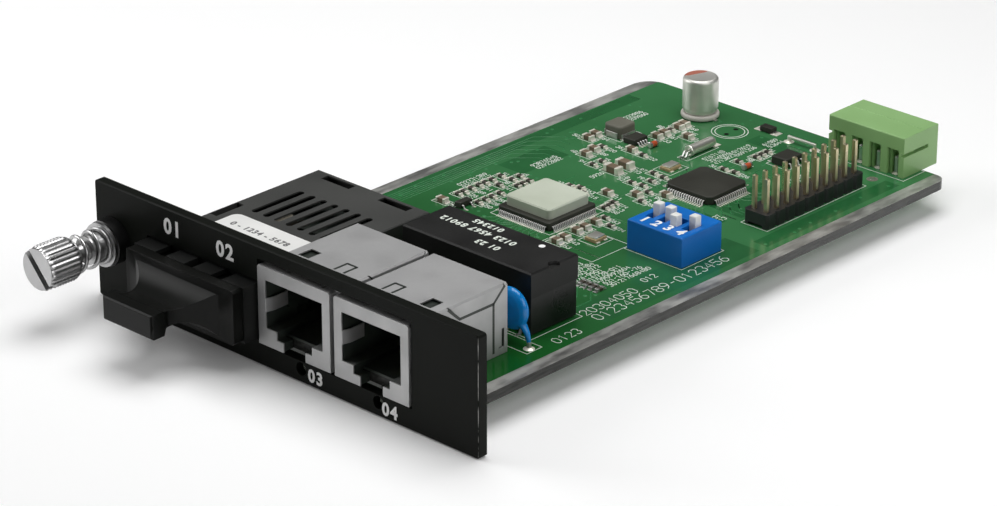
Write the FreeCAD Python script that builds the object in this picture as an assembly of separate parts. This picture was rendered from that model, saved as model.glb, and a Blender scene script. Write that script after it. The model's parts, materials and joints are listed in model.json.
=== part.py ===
import FreeCAD
import Part

import math
import os

os.makedirs("parts", exist_ok=True)

# Driving dimensions in millimetres.
# X runs along the panel from the screw end, Y from the panel's face to the rear, Z up.

# Front panel
PANEL_W = 84.0
PANEL_H = 20.0
PANEL_T = 1.8
PANEL_CORNER_R = 0.5
PANEL_EDGE = 0.2
NOSE_CUT_GAP = 0.3
JACK_CUT_GAP = 0.3
JACK_CUT_TOP_GAP = 0.75

# Circuit board
BOARD_LEFT = 11.0
BOARD_W = 66.8
BOARD_GAP = 0.2
BOARD_L = 118.5
BOARD_Z = 4.0
BOARD_T = 1.6
BOARD_CORNER_R = 4.0
BOARD_RIGHT_CORNER_R = 2.0
PIN_BELOW = 1.6
HOLE_GAP = 0.12

# Captive thumbscrew
SCREW_X = 4.2
SCREW_Z = 10.8
SLEEVE_R = 3.8
SLEEVE_L = 2.4
FERRULE_FLANGE_R = 3.65
FERRULE_FLANGE_T = 0.5
FERRULE_R = 2.4
BARREL_REACH = 3.0
SHANK_R = 1.475
SHANK_GAP = 0.05
THREAD_R = 1.5
THREAD_L = 4.8
SPRING_MEAN_R = 2.85
SPRING_WIRE_R = 0.25
SPRING_TURNS = 3.5
SPRING_L = 6.6
SPRING_STEPS = 14
SPRING_SIDES = 6
HEAD_R = 3.7
HEAD_L = 6.3
KNURL_DEPTH = 0.25
KNURL_COUNT = 26
HEAD_CHAMFER = 0.35
HEAD_BORE_R = 2.55
HEAD_BORE_L = 1.2
SLOT_W = 1.1
SLOT_DEPTH = 1.2
SLOT_ANGLE = 48.0
GROOVE_R = 1.15
GROOVE_W = 0.6
RING_R = 2.1
RING_T = 0.5
RING_SPLIT = 0.7

# Fibre transceiver
OPTIC_X = 24.9
OPTIC_W = 24.8
OPTIC_TOP = 13.75
NOSE_BOTTOM = 4.4
NOSE_REACH = 2.9
OPTIC_REAR = 37.4
PORT_PITCH = 12.7
PORT_W = 7.5
PORT_H = 6.9
PORT_ROOF = 0.75
PORT_END = 15.5
COVER_T = 0.25
COVER_TOP_T = 0.3
KEY_W = 2.4
KEY_L = 3.4
MIDDLE_GROOVE_W = 2.0
VENT_COUNT = 7
VENT_PITCH = 2.6
VENT_W = 1.3
VENT_END = 0.4
VENT_Y0 = 18.1
VENT_Y1 = 29.2
SIDE_VENT = (13.0, 19.0, 1.6)
REAR_VENT = (3.3, 9.7, 2.4, 0.8)
LABEL_T = 0.1
OPTIC_PINS = 9
PIN_PITCH = 2.54

# Dust plug
PLUG_INSET = 0.2
PLUG_BOTTOM = 4.6
PLUG_BASE_T = 1.9
PLUG_GAP = 0.1
PLUG_REACH = 12.7
PRONG_GAP = 0.3
PRONG_L = 8.5
PRONG_BORE_R = 2.1

# Network jacks
OPTIC_JACK_GAP = 0.45
JACK_GAP = 0.9
JACK_W = 15.7
JACK_BOTTOM = 3.9
JACK_TOP = 17.2
JACK_FRONT = -0.3
JACK_REAR = 20.95
SHEET_T = 0.25
RIDGE = 0.3
WINDOW_W = 12.4
WINDOW_BOTTOM = 6.9
WINDOW_TOP = 15.0
NOTCH_HALF = 2.4
NOTCH_STEP_HALF = 3.85
NOTCH_STEP_Z = 5.5
TONGUE_HALF = 1.8
TONGUE_SPREAD = 3.8
TONGUE_RISE = 0.35
SIDE_TONGUES = [(6.0, 8.3), (10.7, 13.7)]
SIDE_TONGUE_RISE = 0.1
FINGER_Z = (9.6, 11.9)
SEAM_W = 0.24
PEG_R = 1.5
PEG_SPREAD = 5.7
PEG_Y = 10.0
LEGS = [(-1, 7.0), (1, 12.0)]
LEG_W = 1.6
CONTACTS = 8
CONTACT_PITCH = 1.02
CONTACT_W = 0.46
CONTACT_T = 0.3

# Status lamps
LAMP_SHIFT = 1.1
LAMP_Z = 2.3
LAMP_HOLE_R = 1.1
LAMP_R = 0.9
LAMP_BACK = 0.9

# Transformer
TRANS_X0 = 41.8
TRANS_X1 = 69.3
TRANS_Y0 = 27.0
TRANS_Y1 = 37.6
TRANS_H = 10.66
TRANS_SEAM = 6.4
TRANS_LEADS = 10

# Disc capacitor
DISC_X = 67.92
DISC_Y = 24.0
DISC_H = 9.3
DISC_R = 3.65
DISC_T = 2.4
DISC_SIDES = 20
DISC_ROUND = 0.8
DISC_LEAD_HALF = 3.75

# Large chips: centre x, centre y, side, height, lead pitch
MAIN_CHIP = (38.6, 63.9, 11.5, 1.45, 0.4)
MAIN_LEADS = 26
CONTROL_CHIP = (51.6, 89.0, 10.0, 1.5, 0.5)
CONTROL_LEADS = 16
MAIN_LEAD_REACH = 0.75
CONTROL_LEAD_REACH = 1.0
PAD_SIDE = 10.0
PAD_T = 1.7
PAD_CORNER_R = 0.9

# Can capacitor
CAN_X = 29.5
CAN_Y = 113.2
CAN_R = 3.15
CAN_TOP = 7.5
CAN_BASE_R = 3.4
CAN_BASE_H = 1.0

# Slide switch block
SWITCH_X0 = 57.8
SWITCH_X1 = 69.4
SWITCH_Y0 = 62.0
SWITCH_Y1 = 71.8
SWITCH_H = 5.25
SLIDE_X0 = 59.8
SLIDE_PITCH = 2.54
SLIDE_SLOT_W = 1.6
SLIDE_Y0 = 64.98
SLIDE_Y1 = 68.3
SLIDER_SIDE = 1.4
SLIDER_PROUD = 1.8
SLIDER_TRAVEL = 1.75
SLIDER_Y = [67.5, 67.5, 65.75, 67.5]

# Pin header
HEADER_X = [65.92, 68.46]
HEADER_Y0 = 84.17
HEADER_COUNT = 10
HEADER_H = 2.54
HEADER_PIN = 0.64
HEADER_PIN_TOP = 8.5

# Terminal header
TERM_X0 = 56.5
TERM_X1 = 72.6
TERM_Y0 = 115.2
TERM_Y1 = 124.5
TERM_H = 7.25
TERM_LIP_H = 4.75
TERM_GROOVE_W = 2.4
TERM_GROOVE_D = 1.9
TERM_FLOOR_Y = 3.6
TERM_PITCH = 3.81
TERM_COUNT = 4
TERM_PIN = 0.8
TERM_PIN_SET = 1.0
TERM_PIN_H = 2.9
TERM_SLOT = (3.75, 4.4, 6.7)

# Small parts on the board: x, y, length along x, width, height
CAP_SIZE = (2.0, 1.25, 0.85)
RES_SIZE = (1.6, 0.8, 0.5)
BIG_CAPS = [(35.2, 84.0), (35.2, 87.0)]
CAPS = [
    (22.5, 91.8), (22.3, 93.9), (27.0, 86.2), (26.6, 88.7), (31.5, 92.9),
    (30.6, 100.5), (30.6, 102.4), (30.6, 106.2), (30.5, 107.8), (34.6, 104.0),
    (40.9, 76.2), (23.0, 55.2), (44.9, 79.0), (47.6, 61.2), (47.6, 63.2),
    (48.0, 57.9), (48.0, 55.9), (47.4, 66.0), (48.6, 82.2),
]
RESISTORS = [
    (26.8, 90.7), (30.9, 83.7), (31.1, 85.8), (30.4, 104.4), (34.3, 92.6),
    (23.0, 59.0), (23.0, 60.4), (23.0, 62.2), (23.0, 64.0), (23.0, 65.5),
    (23.0, 67.2), (27.9, 58.7), (27.9, 60.4), (27.9, 62.1), (27.9, 64.0),
    (27.9, 68.2), (27.9, 69.6), (23.0, 69.4), (25.4, 66.4), (25.4, 69.6),
    (25.4, 71.5), (27.9, 71.1), (37.9, 73.6), (34.3, 74.3), (36.1, 74.9),
    (47.4, 68.4), (50.2, 66.6), (44.5, 72.7), (44.6, 71.4), (44.2, 74.1),
    (40.9, 87.9), (43.2, 87.7), (42.8, 85.1), (40.8, 82.4), (43.0, 82.7),
    (45.5, 81.2), (47.2, 77.6), (48.3, 97.4), (50.6, 97.6), (48.0, 101.6),
    (48.9, 105.2), (48.9, 106.7), (48.9, 108.2),
]
GLASS_DIODES = [(32.9, 96.9), (50.8, 100.5)]
GLASS_R = 0.5
GLASS_L = 1.1
GLASS_END = 0.45
REAR_DIODE = (42.8, 115.8)
REAR_DIODE_SIZE = (2.6, 1.6, 1.0)
INDUCTOR = (24.9, 97.3)
INDUCTOR_SIZE = (4.0, 4.2, 2.3)
CRYSTAL = (40.1, 97.8, 104.2)
CRYSTAL_R = 1.0
CRYSTAL_LEAD = 0.3
FLAT_CRYSTALS = [(40.2, 42.4, 90.2, 93.3), (50.6, 53.0, 59.8, 62.6)]
JUMPER_XS = (48.3, 54.0)
JUMPER_Y = 114.75
JUMPER_WIRE = 0.5
SPARE_HOLES = [(38.3, 109.9), (38.1, 112.7)]

# Shared frame: origin under the middle of the whole part, on its resting plane
FRONT_REACH = SLEEVE_L + FERRULE_FLANGE_T + SPRING_L + HEAD_L
Y_SHIFT = (FRONT_REACH - TERM_Y1) / 2.0
X_SHIFT = -PANEL_W / 2.0

# Derived levels
BOARD_TOP = BOARD_Z + BOARD_T
BOARD_FRONT = PANEL_T + BOARD_GAP
BOARD_RIGHT = BOARD_LEFT + BOARD_W
BOARD_REAR = BOARD_FRONT + BOARD_L
PIN_TIP = BOARD_Z - PIN_BELOW
OPTIC_LEFT = OPTIC_X - OPTIC_W / 2.0
OPTIC_RIGHT = OPTIC_X + OPTIC_W / 2.0
PLUG_HALF = OPTIC_W / 2.0 - PLUG_INSET
JACK_LEFT = OPTIC_RIGHT + OPTIC_JACK_GAP
JACK_RIGHT = JACK_LEFT + 2 * JACK_W + JACK_GAP
JACK_CENTRES = [JACK_LEFT + JACK_W / 2.0, JACK_RIGHT - JACK_W / 2.0]
CONTACT_Y = JACK_REAR - 3.35
CONTACT_RUN_Z = JACK_TOP - 1.2
PORT_TOP = OPTIC_TOP - PORT_ROOF
PORT_FLOOR = PORT_TOP - PORT_H
PORT_Z = (PORT_TOP + PORT_FLOOR) / 2.0
PORT_XS = [OPTIC_X - PORT_PITCH / 2.0, OPTIC_X + PORT_PITCH / 2.0]
HOUSE_TOP = OPTIC_TOP - COVER_TOP_T
FLANGE_FRONT = -SLEEVE_L - FERRULE_FLANGE_T
HEAD_REAR = FLANGE_FRONT - SPRING_L
HEAD_FACE = HEAD_REAR - HEAD_L
AXIS_Y = FreeCAD.Vector(0, 1, 0)
AXIS_Z = FreeCAD.Vector(0, 0, 1)


def point(x, y, z):
    return FreeCAD.Vector(x, y, z)


def block(x0, x1, y0, y1, z0, z1):
    return Part.makeBox(x1 - x0, y1 - y0, z1 - z0, point(x0, y0, z0))


def upright(radius, x, y, z0, z1):
    return Part.makeCylinder(radius, z1 - z0, point(x, y, z0), AXIS_Z)


def lengthwise(radius, x, z, y0, y1):
    return Part.makeCylinder(radius, y1 - y0, point(x, y0, z), AXIS_Y)


def corners_around(radius, a, b, sides, start=0.5):
    """Corners of a regular outline whose flats lie at the radius."""
    reach = radius / math.cos(math.pi / sides)
    turns = [2 * math.pi * (i + start) / sides for i in range(sides)]
    return [(a + reach * math.cos(turn), b + reach * math.sin(turn)) for turn in turns]


def upright_prism(radius, x, y, z0, z1, sides=8):
    return prism_z(corners_around(radius, x, y, sides), z0, z1)


def lengthwise_prism(radius, x, z, y0, y1, sides=8):
    return prism_y(corners_around(radius, x, z, sides), y0, y1)


def prism(corners, direction):
    wire = Part.makePolygon(corners + [corners[0]])
    return Part.Face(wire).extrude(direction)


def prism_x(yz, x0, x1):
    return prism([point(x0, y, z) for y, z in yz], point(x1 - x0, 0, 0))


def prism_y(xz, y0, y1):
    return prism([point(x, y0, z) for x, z in xz], point(0, y1 - y0, 0))


def prism_z(xy, z0, z1):
    return prism([point(x, y, z0) for x, y in xy], point(0, 0, z1 - z0))


def join(shapes):
    whole = shapes[0]
    if len(shapes) > 1:
        whole = shapes[0].multiFuse(shapes[1:])
    return whole.removeSplitter()


def remove(base, tools):
    return base.cut(Part.makeCompound(tools))


def edges_along(shape, axis):
    found = []
    for edge in shape.Edges:
        if len(edge.Vertexes) != 2:
            continue
        run = edge.Vertexes[1].Point.sub(edge.Vertexes[0].Point)
        if run.Length > 0.0 and abs(run.dot(axis)) / run.Length > 0.999:
            found.append(edge)
    return found


def edges_at_z(shape, z):
    found = []
    for edge in shape.Edges:
        box = edge.BoundBox
        if abs(box.ZMin - z) < 1e-6 and abs(box.ZMax - z) < 1e-6:
            found.append(edge)
    return found


def edges_at_y(shape, y):
    found = []
    for edge in shape.Edges:
        box = edge.BoundBox
        if abs(box.YMin - y) < 1e-6 and abs(box.YMax - y) < 1e-6:
            found.append(edge)
    return found


def rounded_block(x0, x1, y0, y1, z0, z1, radius, axis):
    whole = block(x0, x1, y0, y1, z0, z1)
    return whole.makeFillet(radius, edges_along(whole, axis))


def strip(path, thickness):
    """Outline of a bent strip that is centred on the path, with mitred bends."""
    left = []
    right = []
    last = len(path) - 1
    for i, (a, b) in enumerate(path):
        before = path[max(i - 1, 0)]
        after = path[min(i + 1, last)]
        if i == 0:
            before = (2 * a - after[0], 2 * b - after[1])
        if i == last:
            after = (2 * a - before[0], 2 * b - before[1])
        d0 = math.atan2(b - before[1], a - before[0])
        d1 = math.atan2(after[1] - b, after[0] - a)
        turn = (d1 - d0 + math.pi) % (2 * math.pi) - math.pi
        aim = d0 + turn / 2.0 + math.pi / 2.0
        reach = thickness / 2.0 / math.cos(turn / 2.0)
        left.append((a + reach * math.cos(aim), b + reach * math.sin(aim)))
        right.append((a - reach * math.cos(aim), b - reach * math.sin(aim)))
    return left + right[::-1]


def save(name, shapes):
    whole = shapes
    if isinstance(shapes, list):
        whole = Part.makeCompound(shapes)
    moved = whole.copy()
    moved.translate(point(X_SHIFT, Y_SHIFT, 0))
    moved.exportStep("parts/" + name + ".step")


def optic_pin_xs():
    middle = (OPTIC_PINS - 1) / 2.0
    return [OPTIC_X + (i - middle) * PIN_PITCH for i in range(OPTIC_PINS)]


def contact_xs(centre):
    middle = (CONTACTS - 1) / 2.0
    return [centre + (i - middle) * CONTACT_PITCH for i in range(CONTACTS)]


def slide_xs():
    return [SLIDE_X0 + i * SLIDE_PITCH for i in range(len(SLIDER_Y))]


def header_ys():
    return [HEADER_Y0 + i * PIN_PITCH for i in range(HEADER_COUNT)]


def term_xs():
    middle = (TERM_COUNT - 1) / 2.0
    centre = (TERM_X0 + TERM_X1) / 2.0
    return [centre + (i - middle) * TERM_PITCH for i in range(TERM_COUNT)]


# Brackets that hold the panel: centre x and screw y
BRACKET_HALF = 3.2
BRACKET_GAP = 0.3
BRACKET_T = 0.8
BRACKET_L = 7.5
BRACKET_DROP = 3.4
BRACKET_SCREW_Y = 6.5
BRACKETS = [(OPTIC_X, BRACKET_SCREW_Y), (JACK_RIGHT + BRACKET_GAP + BRACKET_HALF, BRACKET_SCREW_Y)]
SCREW_R = 1.0
SCREW_HEAD_R = 1.8
PIP_R = 0.7
PIP_L = 1.0
PIP_SPREAD = 2.2
PIP_Z = BOARD_Z / 2.0 - 0.1
NUT_HALF = 2.0
NUT_T = 1.6


# Front panel: bent-free plate with one stepped opening
def front_panel():
    plate = rounded_block(0, PANEL_W, 0, PANEL_T, 0, PANEL_H, PANEL_CORNER_R, AXIS_Y)
    plate = plate.makeChamfer(PANEL_EDGE, edges_at_y(plate, 0))
    jack_left = JACK_LEFT - JACK_CUT_GAP
    jack_right = JACK_RIGHT + JACK_CUT_GAP
    nose = (OPTIC_LEFT - NOSE_CUT_GAP, jack_left, NOSE_BOTTOM - NOSE_CUT_GAP, OPTIC_TOP + NOSE_CUT_GAP)
    jacks = (jack_left, jack_right, JACK_BOTTOM - JACK_CUT_GAP, JACK_TOP + JACK_CUT_TOP_GAP)
    opening = prism_y([
        (nose[0], nose[2]), (nose[1], nose[2]), (jacks[0], jacks[2]), (jacks[1], jacks[2]),
        (jacks[1], jacks[3]), (jacks[0], jacks[3]), (nose[1], nose[3]), (nose[0], nose[3]),
    ], -1, PANEL_T + 1)
    tools = [opening, lengthwise_prism(FERRULE_R + SHANK_GAP, SCREW_X, SCREW_Z, -1, PANEL_T + 1, 16)]
    for centre in JACK_CENTRES:
        tools.append(lengthwise_prism(LAMP_HOLE_R, centre + LAMP_SHIFT, LAMP_Z, -1, PANEL_T + 1, 16))
    for x, y in BRACKETS:
        for side in (-1, 1):
            tools.append(lengthwise_prism(PIP_R + SHANK_GAP, x + side * PIP_SPREAD, PIP_Z,
                                          PANEL_T - PIP_L - 0.05, PANEL_T + 1))
    return remove(plate, tools)


# Captive thumbscrew: sleeve, ferrule, spring, knurled screw and its ring
def screw_sleeve():
    outer = lengthwise(SLEEVE_R, SCREW_X, SCREW_Z, -SLEEVE_L, 0)
    outer = outer.makeChamfer(0.25, edges_at_y(outer, -SLEEVE_L))
    return remove(outer, [lengthwise_prism(FERRULE_R + SHANK_GAP, SCREW_X, SCREW_Z, -SLEEVE_L - 1, 1, 16)])


def screw_ferrule():
    barrel = lengthwise(FERRULE_R, SCREW_X, SCREW_Z, FLANGE_FRONT - BARREL_REACH, PANEL_T)
    flange = lengthwise(FERRULE_FLANGE_R, SCREW_X, SCREW_Z, FLANGE_FRONT, FLANGE_FRONT + FERRULE_FLANGE_T)
    bore = lengthwise_prism(SHANK_R + 2 * SHANK_GAP - 0.025, SCREW_X, SCREW_Z, -30, 30, 16)
    return remove(join([barrel, flange]), [bore])


def screw_spring():
    """Round-wire coil, lofted through sections that turn about the screw."""
    steps = int(SPRING_TURNS * SPRING_STEPS)
    lift = SPRING_L - 2 * SPRING_WIRE_R - 0.04
    sections = []
    for i in range(steps + 1):
        turn = 2 * math.pi * SPRING_TURNS * i / steps
        y = HEAD_REAR + SPRING_WIRE_R + 0.02 + lift * i / steps
        ring = []
        for out, along in corners_around(SPRING_WIRE_R, SPRING_MEAN_R, y, SPRING_SIDES):
            ring.append(point(SCREW_X + out * math.cos(turn), along, SCREW_Z + out * math.sin(turn)))
        sections.append(Part.makePolygon(ring + [ring[0]]))
    return Part.makeLoft(sections, True, True)


def knurled_head():
    """Ridged grip on a turned core whose ends are chamfered."""
    steps = 2 * KNURL_COUNT
    root = HEAD_R - KNURL_DEPTH
    ridge = []
    for i in range(steps):
        radius = HEAD_R - KNURL_DEPTH * (i % 2)
        turn = 2 * math.pi * i / steps
        ridge.append((SCREW_X + radius * math.cos(turn), SCREW_Z + radius * math.sin(turn)))
    grip = prism_y(ridge, HEAD_FACE + HEAD_CHAMFER, HEAD_REAR - HEAD_CHAMFER)
    core = lengthwise(root, SCREW_X, SCREW_Z, HEAD_FACE, HEAD_REAR)
    core = core.makeChamfer(HEAD_CHAMFER - 0.02, edges_at_y(core, HEAD_FACE) + edges_at_y(core, HEAD_REAR))
    return join([grip, core])


def thumbscrew():
    slot = block(-10, 10, HEAD_FACE - 1, HEAD_FACE + SLOT_DEPTH, -SLOT_W / 2.0, SLOT_W / 2.0)
    slot.rotate(point(0, 0, 0), AXIS_Y, SLOT_ANGLE)
    slot.translate(point(SCREW_X, 0, SCREW_Z))
    recess = lengthwise(HEAD_BORE_R, SCREW_X, SCREW_Z, HEAD_REAR - HEAD_BORE_L, HEAD_REAR + 1)
    head = remove(knurled_head(), [slot, recess])
    groove_y = PANEL_T + 0.05
    thread_y = groove_y + GROOVE_W
    neck = lengthwise_prism(GROOVE_R, SCREW_X, SCREW_Z, groove_y - 0.1, thread_y + 0.1, 12)
    shank = lengthwise_prism(SHANK_R, SCREW_X, SCREW_Z, HEAD_REAR - HEAD_BORE_L - 0.1, groove_y, 16)
    thread = lengthwise(THREAD_R, SCREW_X, SCREW_Z, thread_y, thread_y + THREAD_L)
    thread = thread.makeChamfer(0.4, edges_at_y(thread, thread_y + THREAD_L))
    return join([head, shank, neck, thread])


def screw_ring():
    y0 = PANEL_T + 0.1
    disc = lengthwise(RING_R, SCREW_X, SCREW_Z, y0, y0 + RING_T)
    bore = lengthwise(GROOVE_R + SHANK_GAP, SCREW_X, SCREW_Z, y0 - 1, y0 + RING_T + 1)
    split = block(SCREW_X - RING_SPLIT / 2.0, SCREW_X + RING_SPLIT / 2.0, y0 - 1, y0 + 2,
                  SCREW_Z - RING_R - 1, SCREW_Z)
    return remove(disc, [bore, split])


# Two small angles under the board that hold the panel
def panel_brackets():
    shapes = []
    for x, y in BRACKETS:
        angle = prism_x([
            (PANEL_T, BOARD_Z - BRACKET_DROP), (PANEL_T + BRACKET_T, BOARD_Z - BRACKET_DROP),
            (PANEL_T + BRACKET_T, BOARD_Z - BRACKET_T), (PANEL_T + BRACKET_L, BOARD_Z - BRACKET_T),
            (PANEL_T + BRACKET_L, BOARD_Z), (PANEL_T, BOARD_Z),
        ], x - BRACKET_HALF, x + BRACKET_HALF)
        pips = []
        for side in (-1, 1):
            pips.append(lengthwise_prism(PIP_R, x + side * PIP_SPREAD, PIP_Z, PANEL_T - PIP_L, PANEL_T + 0.1))
        shapes.append(remove(join([angle] + pips), [upright_prism(SCREW_R + 0.05, x, y, 0, BOARD_Z + 1)]))
    return shapes


def bracket_screws():
    shapes = []
    tops = [BOARD_TOP + 3.6, BOARD_TOP + NUT_T + 0.3]
    for (x, y), top in zip(BRACKETS, tops):
        head_z = BOARD_Z - BRACKET_T
        head = upright_prism(SCREW_HEAD_R, x, y, head_z - 1.1, head_z, 12)
        head = head.makeChamfer(0.35, edges_at_z(head, head_z - 1.1))
        shank = upright_prism(SCREW_R * 0.92, x, y, head_z - 0.1, top)
        cross = [
            block(x - 1.0, x + 1.0, y - 0.2, y + 0.2, head_z - 2, head_z - 0.5),
            block(x - 0.2, x + 0.2, y - 1.0, y + 1.0, head_z - 2, head_z - 0.5),
        ]
        shapes.append(remove(join([head, shank]), cross))
    return shapes


def bracket_nut():
    x, y = BRACKETS[1]
    nut = prism_z(corners_around(NUT_HALF, x, y, 6), BOARD_TOP, BOARD_TOP + NUT_T)
    return remove(nut, [upright_prism(SCREW_R + 0.05, x, y, BOARD_TOP - 1, BOARD_TOP + NUT_T + 1)])


# Fibre transceiver: moulded duplex socket with a sheet cover
def side_span(near, far, side):
    """Low and high x of a span that lies on one side of the transceiver's middle."""
    a = OPTIC_X + side * near
    b = OPTIC_X + side * far
    return min(a, b), max(a, b)


def transceiver_housing():
    nose = block(OPTIC_LEFT, OPTIC_RIGHT, -NOSE_REACH, BOARD_FRONT - 0.1, NOSE_BOTTOM, OPTIC_TOP)
    body = block(OPTIC_LEFT, OPTIC_RIGHT, BOARD_FRONT - 0.2, OPTIC_REAR - COVER_T - 0.05, BOARD_TOP, HOUSE_TOP)
    tools = []
    for x in PORT_XS:
        half = PORT_W / 2.0
        tools.append(block(x - half, x + half, -NOSE_REACH - 1, PORT_END, PORT_FLOOR, PORT_TOP))
        tools.append(block(x - KEY_W / 2.0, x + KEY_W / 2.0, -NOSE_REACH - 1, -NOSE_REACH + KEY_L,
                           PORT_TOP - 0.5, OPTIC_TOP + 1))
        tools.append(lengthwise_prism(1.75, x, PORT_Z, PORT_END - 1, PORT_END + 3, 12))
    tools.append(block(OPTIC_X - MIDDLE_GROOVE_W / 2.0, OPTIC_X + MIDDLE_GROOVE_W / 2.0,
                       -NOSE_REACH - 1, -NOSE_REACH + KEY_L, OPTIC_TOP - 1.2, OPTIC_TOP + 1))
    tools.append(block(OPTIC_LEFT + 1.2, OPTIC_RIGHT - 1.2, PORT_END + 2.0, OPTIC_REAR - 1.5,
                       BOARD_TOP + 1.0, OPTIC_TOP + 1))
    for side in (-1, 1):
        x0, x1 = side_span(OPTIC_W / 2.0 - SIDE_VENT[2], OPTIC_W / 2.0 + 1, side)
        tools.append(block(x0, x1, SIDE_VENT[0], SIDE_VENT[1], HOUSE_TOP - 2.0, OPTIC_TOP + 1))
        x0, x1 = side_span(REAR_VENT[0], REAR_VENT[1], side)
        tools.append(block(x0, x1, OPTIC_REAR - 2.4, OPTIC_REAR, HOUSE_TOP - 2.0, OPTIC_TOP + 1))
    for x in optic_pin_xs():
        tools.append(block(x - 0.27, x + 0.27, OPTIC_REAR - 3.07, OPTIC_REAR - 2.53, 0, BOARD_TOP + 2))
    for x in (optic_pin_xs()[0], optic_pin_xs()[-1]):
        tools.append(upright_prism(0.75, x, PORT_END + 9.4, 0, BOARD_TOP + 2))
    x, y = BRACKETS[0]
    tools.append(upright_prism(SCREW_R + 0.05, x, y, 0, BOARD_TOP + 4.0))
    return remove(join([nose, body]), tools)


def transceiver_cover():
    x0 = OPTIC_LEFT - 0.05 - COVER_T
    x1 = OPTIC_RIGHT + 0.05 + COVER_T
    outer = block(x0, x1, BOARD_FRONT, OPTIC_REAR, BOARD_TOP + 0.6, OPTIC_TOP)
    top = [e for e in edges_at_z(outer, OPTIC_TOP) if e.BoundBox.YMax > BOARD_FRONT + 1]
    outer = outer.makeChamfer(0.2, top)
    tools = [block(x0 + COVER_T, x1 - COVER_T, BOARD_FRONT - 1, OPTIC_REAR - COVER_T, 0, HOUSE_TOP)]
    middle = (VENT_COUNT - 1) / 2.0
    half = VENT_W / 2.0
    inner = half - VENT_END
    for i in range(VENT_COUNT):
        x = OPTIC_X + (i - middle) * VENT_PITCH
        tools.append(prism_z([
            (x - inner, VENT_Y0), (x + inner, VENT_Y0), (x + half, VENT_Y0 + VENT_END), (x + half, VENT_Y1 - VENT_END),
            (x + inner, VENT_Y1), (x - inner, VENT_Y1), (x - half, VENT_Y1 - VENT_END), (x - half, VENT_Y0 + VENT_END),
        ], HOUSE_TOP - 1, OPTIC_TOP + 1))
    for side in (-1, 1):
        near, far = side_span(OPTIC_W / 2.0 - SIDE_VENT[2], OPTIC_W / 2.0, side)
        tools.append(block(near, far, SIDE_VENT[0], SIDE_VENT[1], HOUSE_TOP - 1, OPTIC_TOP + 1))
        near, far = side_span(REAR_VENT[0], REAR_VENT[1], side)
        tools.append(block(near, far, OPTIC_REAR - REAR_VENT[2], OPTIC_REAR - REAR_VENT[3], HOUSE_TOP - 1, OPTIC_TOP + 1))
    return remove(outer, tools)


def transceiver_label():
    return rounded_block(OPTIC_X - 9.2, OPTIC_RIGHT - 0.4, 3.0, 16.0, OPTIC_TOP, OPTIC_TOP + LABEL_T, 1.4, AXIS_Z)


def transceiver_board():
    return block(PORT_XS[0] - 4.5, PORT_XS[1] + 4.5, PORT_END + 10.1, OPTIC_REAR - 2.5, PORT_Z - 0.95, PORT_Z - 0.15)


def light_barrel(x, radius):
    y0 = PORT_END + 2.0
    can = lengthwise_prism(radius, x, PORT_Z, y0, y0 + 7.0, 16)
    wires = []
    for i in (-1, 0, 1):
        wires.append(block(x + 1.27 * i - 0.17, x + 1.27 * i + 0.17, y0 + 6.9, y0 + 10.0, PORT_Z - 0.15, PORT_Z + 0.19))
    return join([can] + wires)


def ferrule_sleeves():
    shapes = []
    for x in PORT_XS:
        tube = lengthwise_prism(1.7, x, PORT_Z, 4.0, PORT_END + 2.0, 12)
        shapes.append(remove(tube, [lengthwise_prism(1.25, x, PORT_Z, 0, PORT_END + 5, 12)]))
    return shapes


def transceiver_pins():
    shapes = []
    y = OPTIC_REAR - 2.8
    for x in optic_pin_xs():
        shapes.append(block(x - 0.23, x + 0.23, y - 0.23, y + 0.23, PIN_TIP, PORT_Z - 0.95))
    for x in (optic_pin_xs()[0], optic_pin_xs()[-1]):
        shapes.append(upright_prism(0.65, x, PORT_END + 9.4, PIN_TIP, BOARD_TOP + 1.0))
    return shapes


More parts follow.
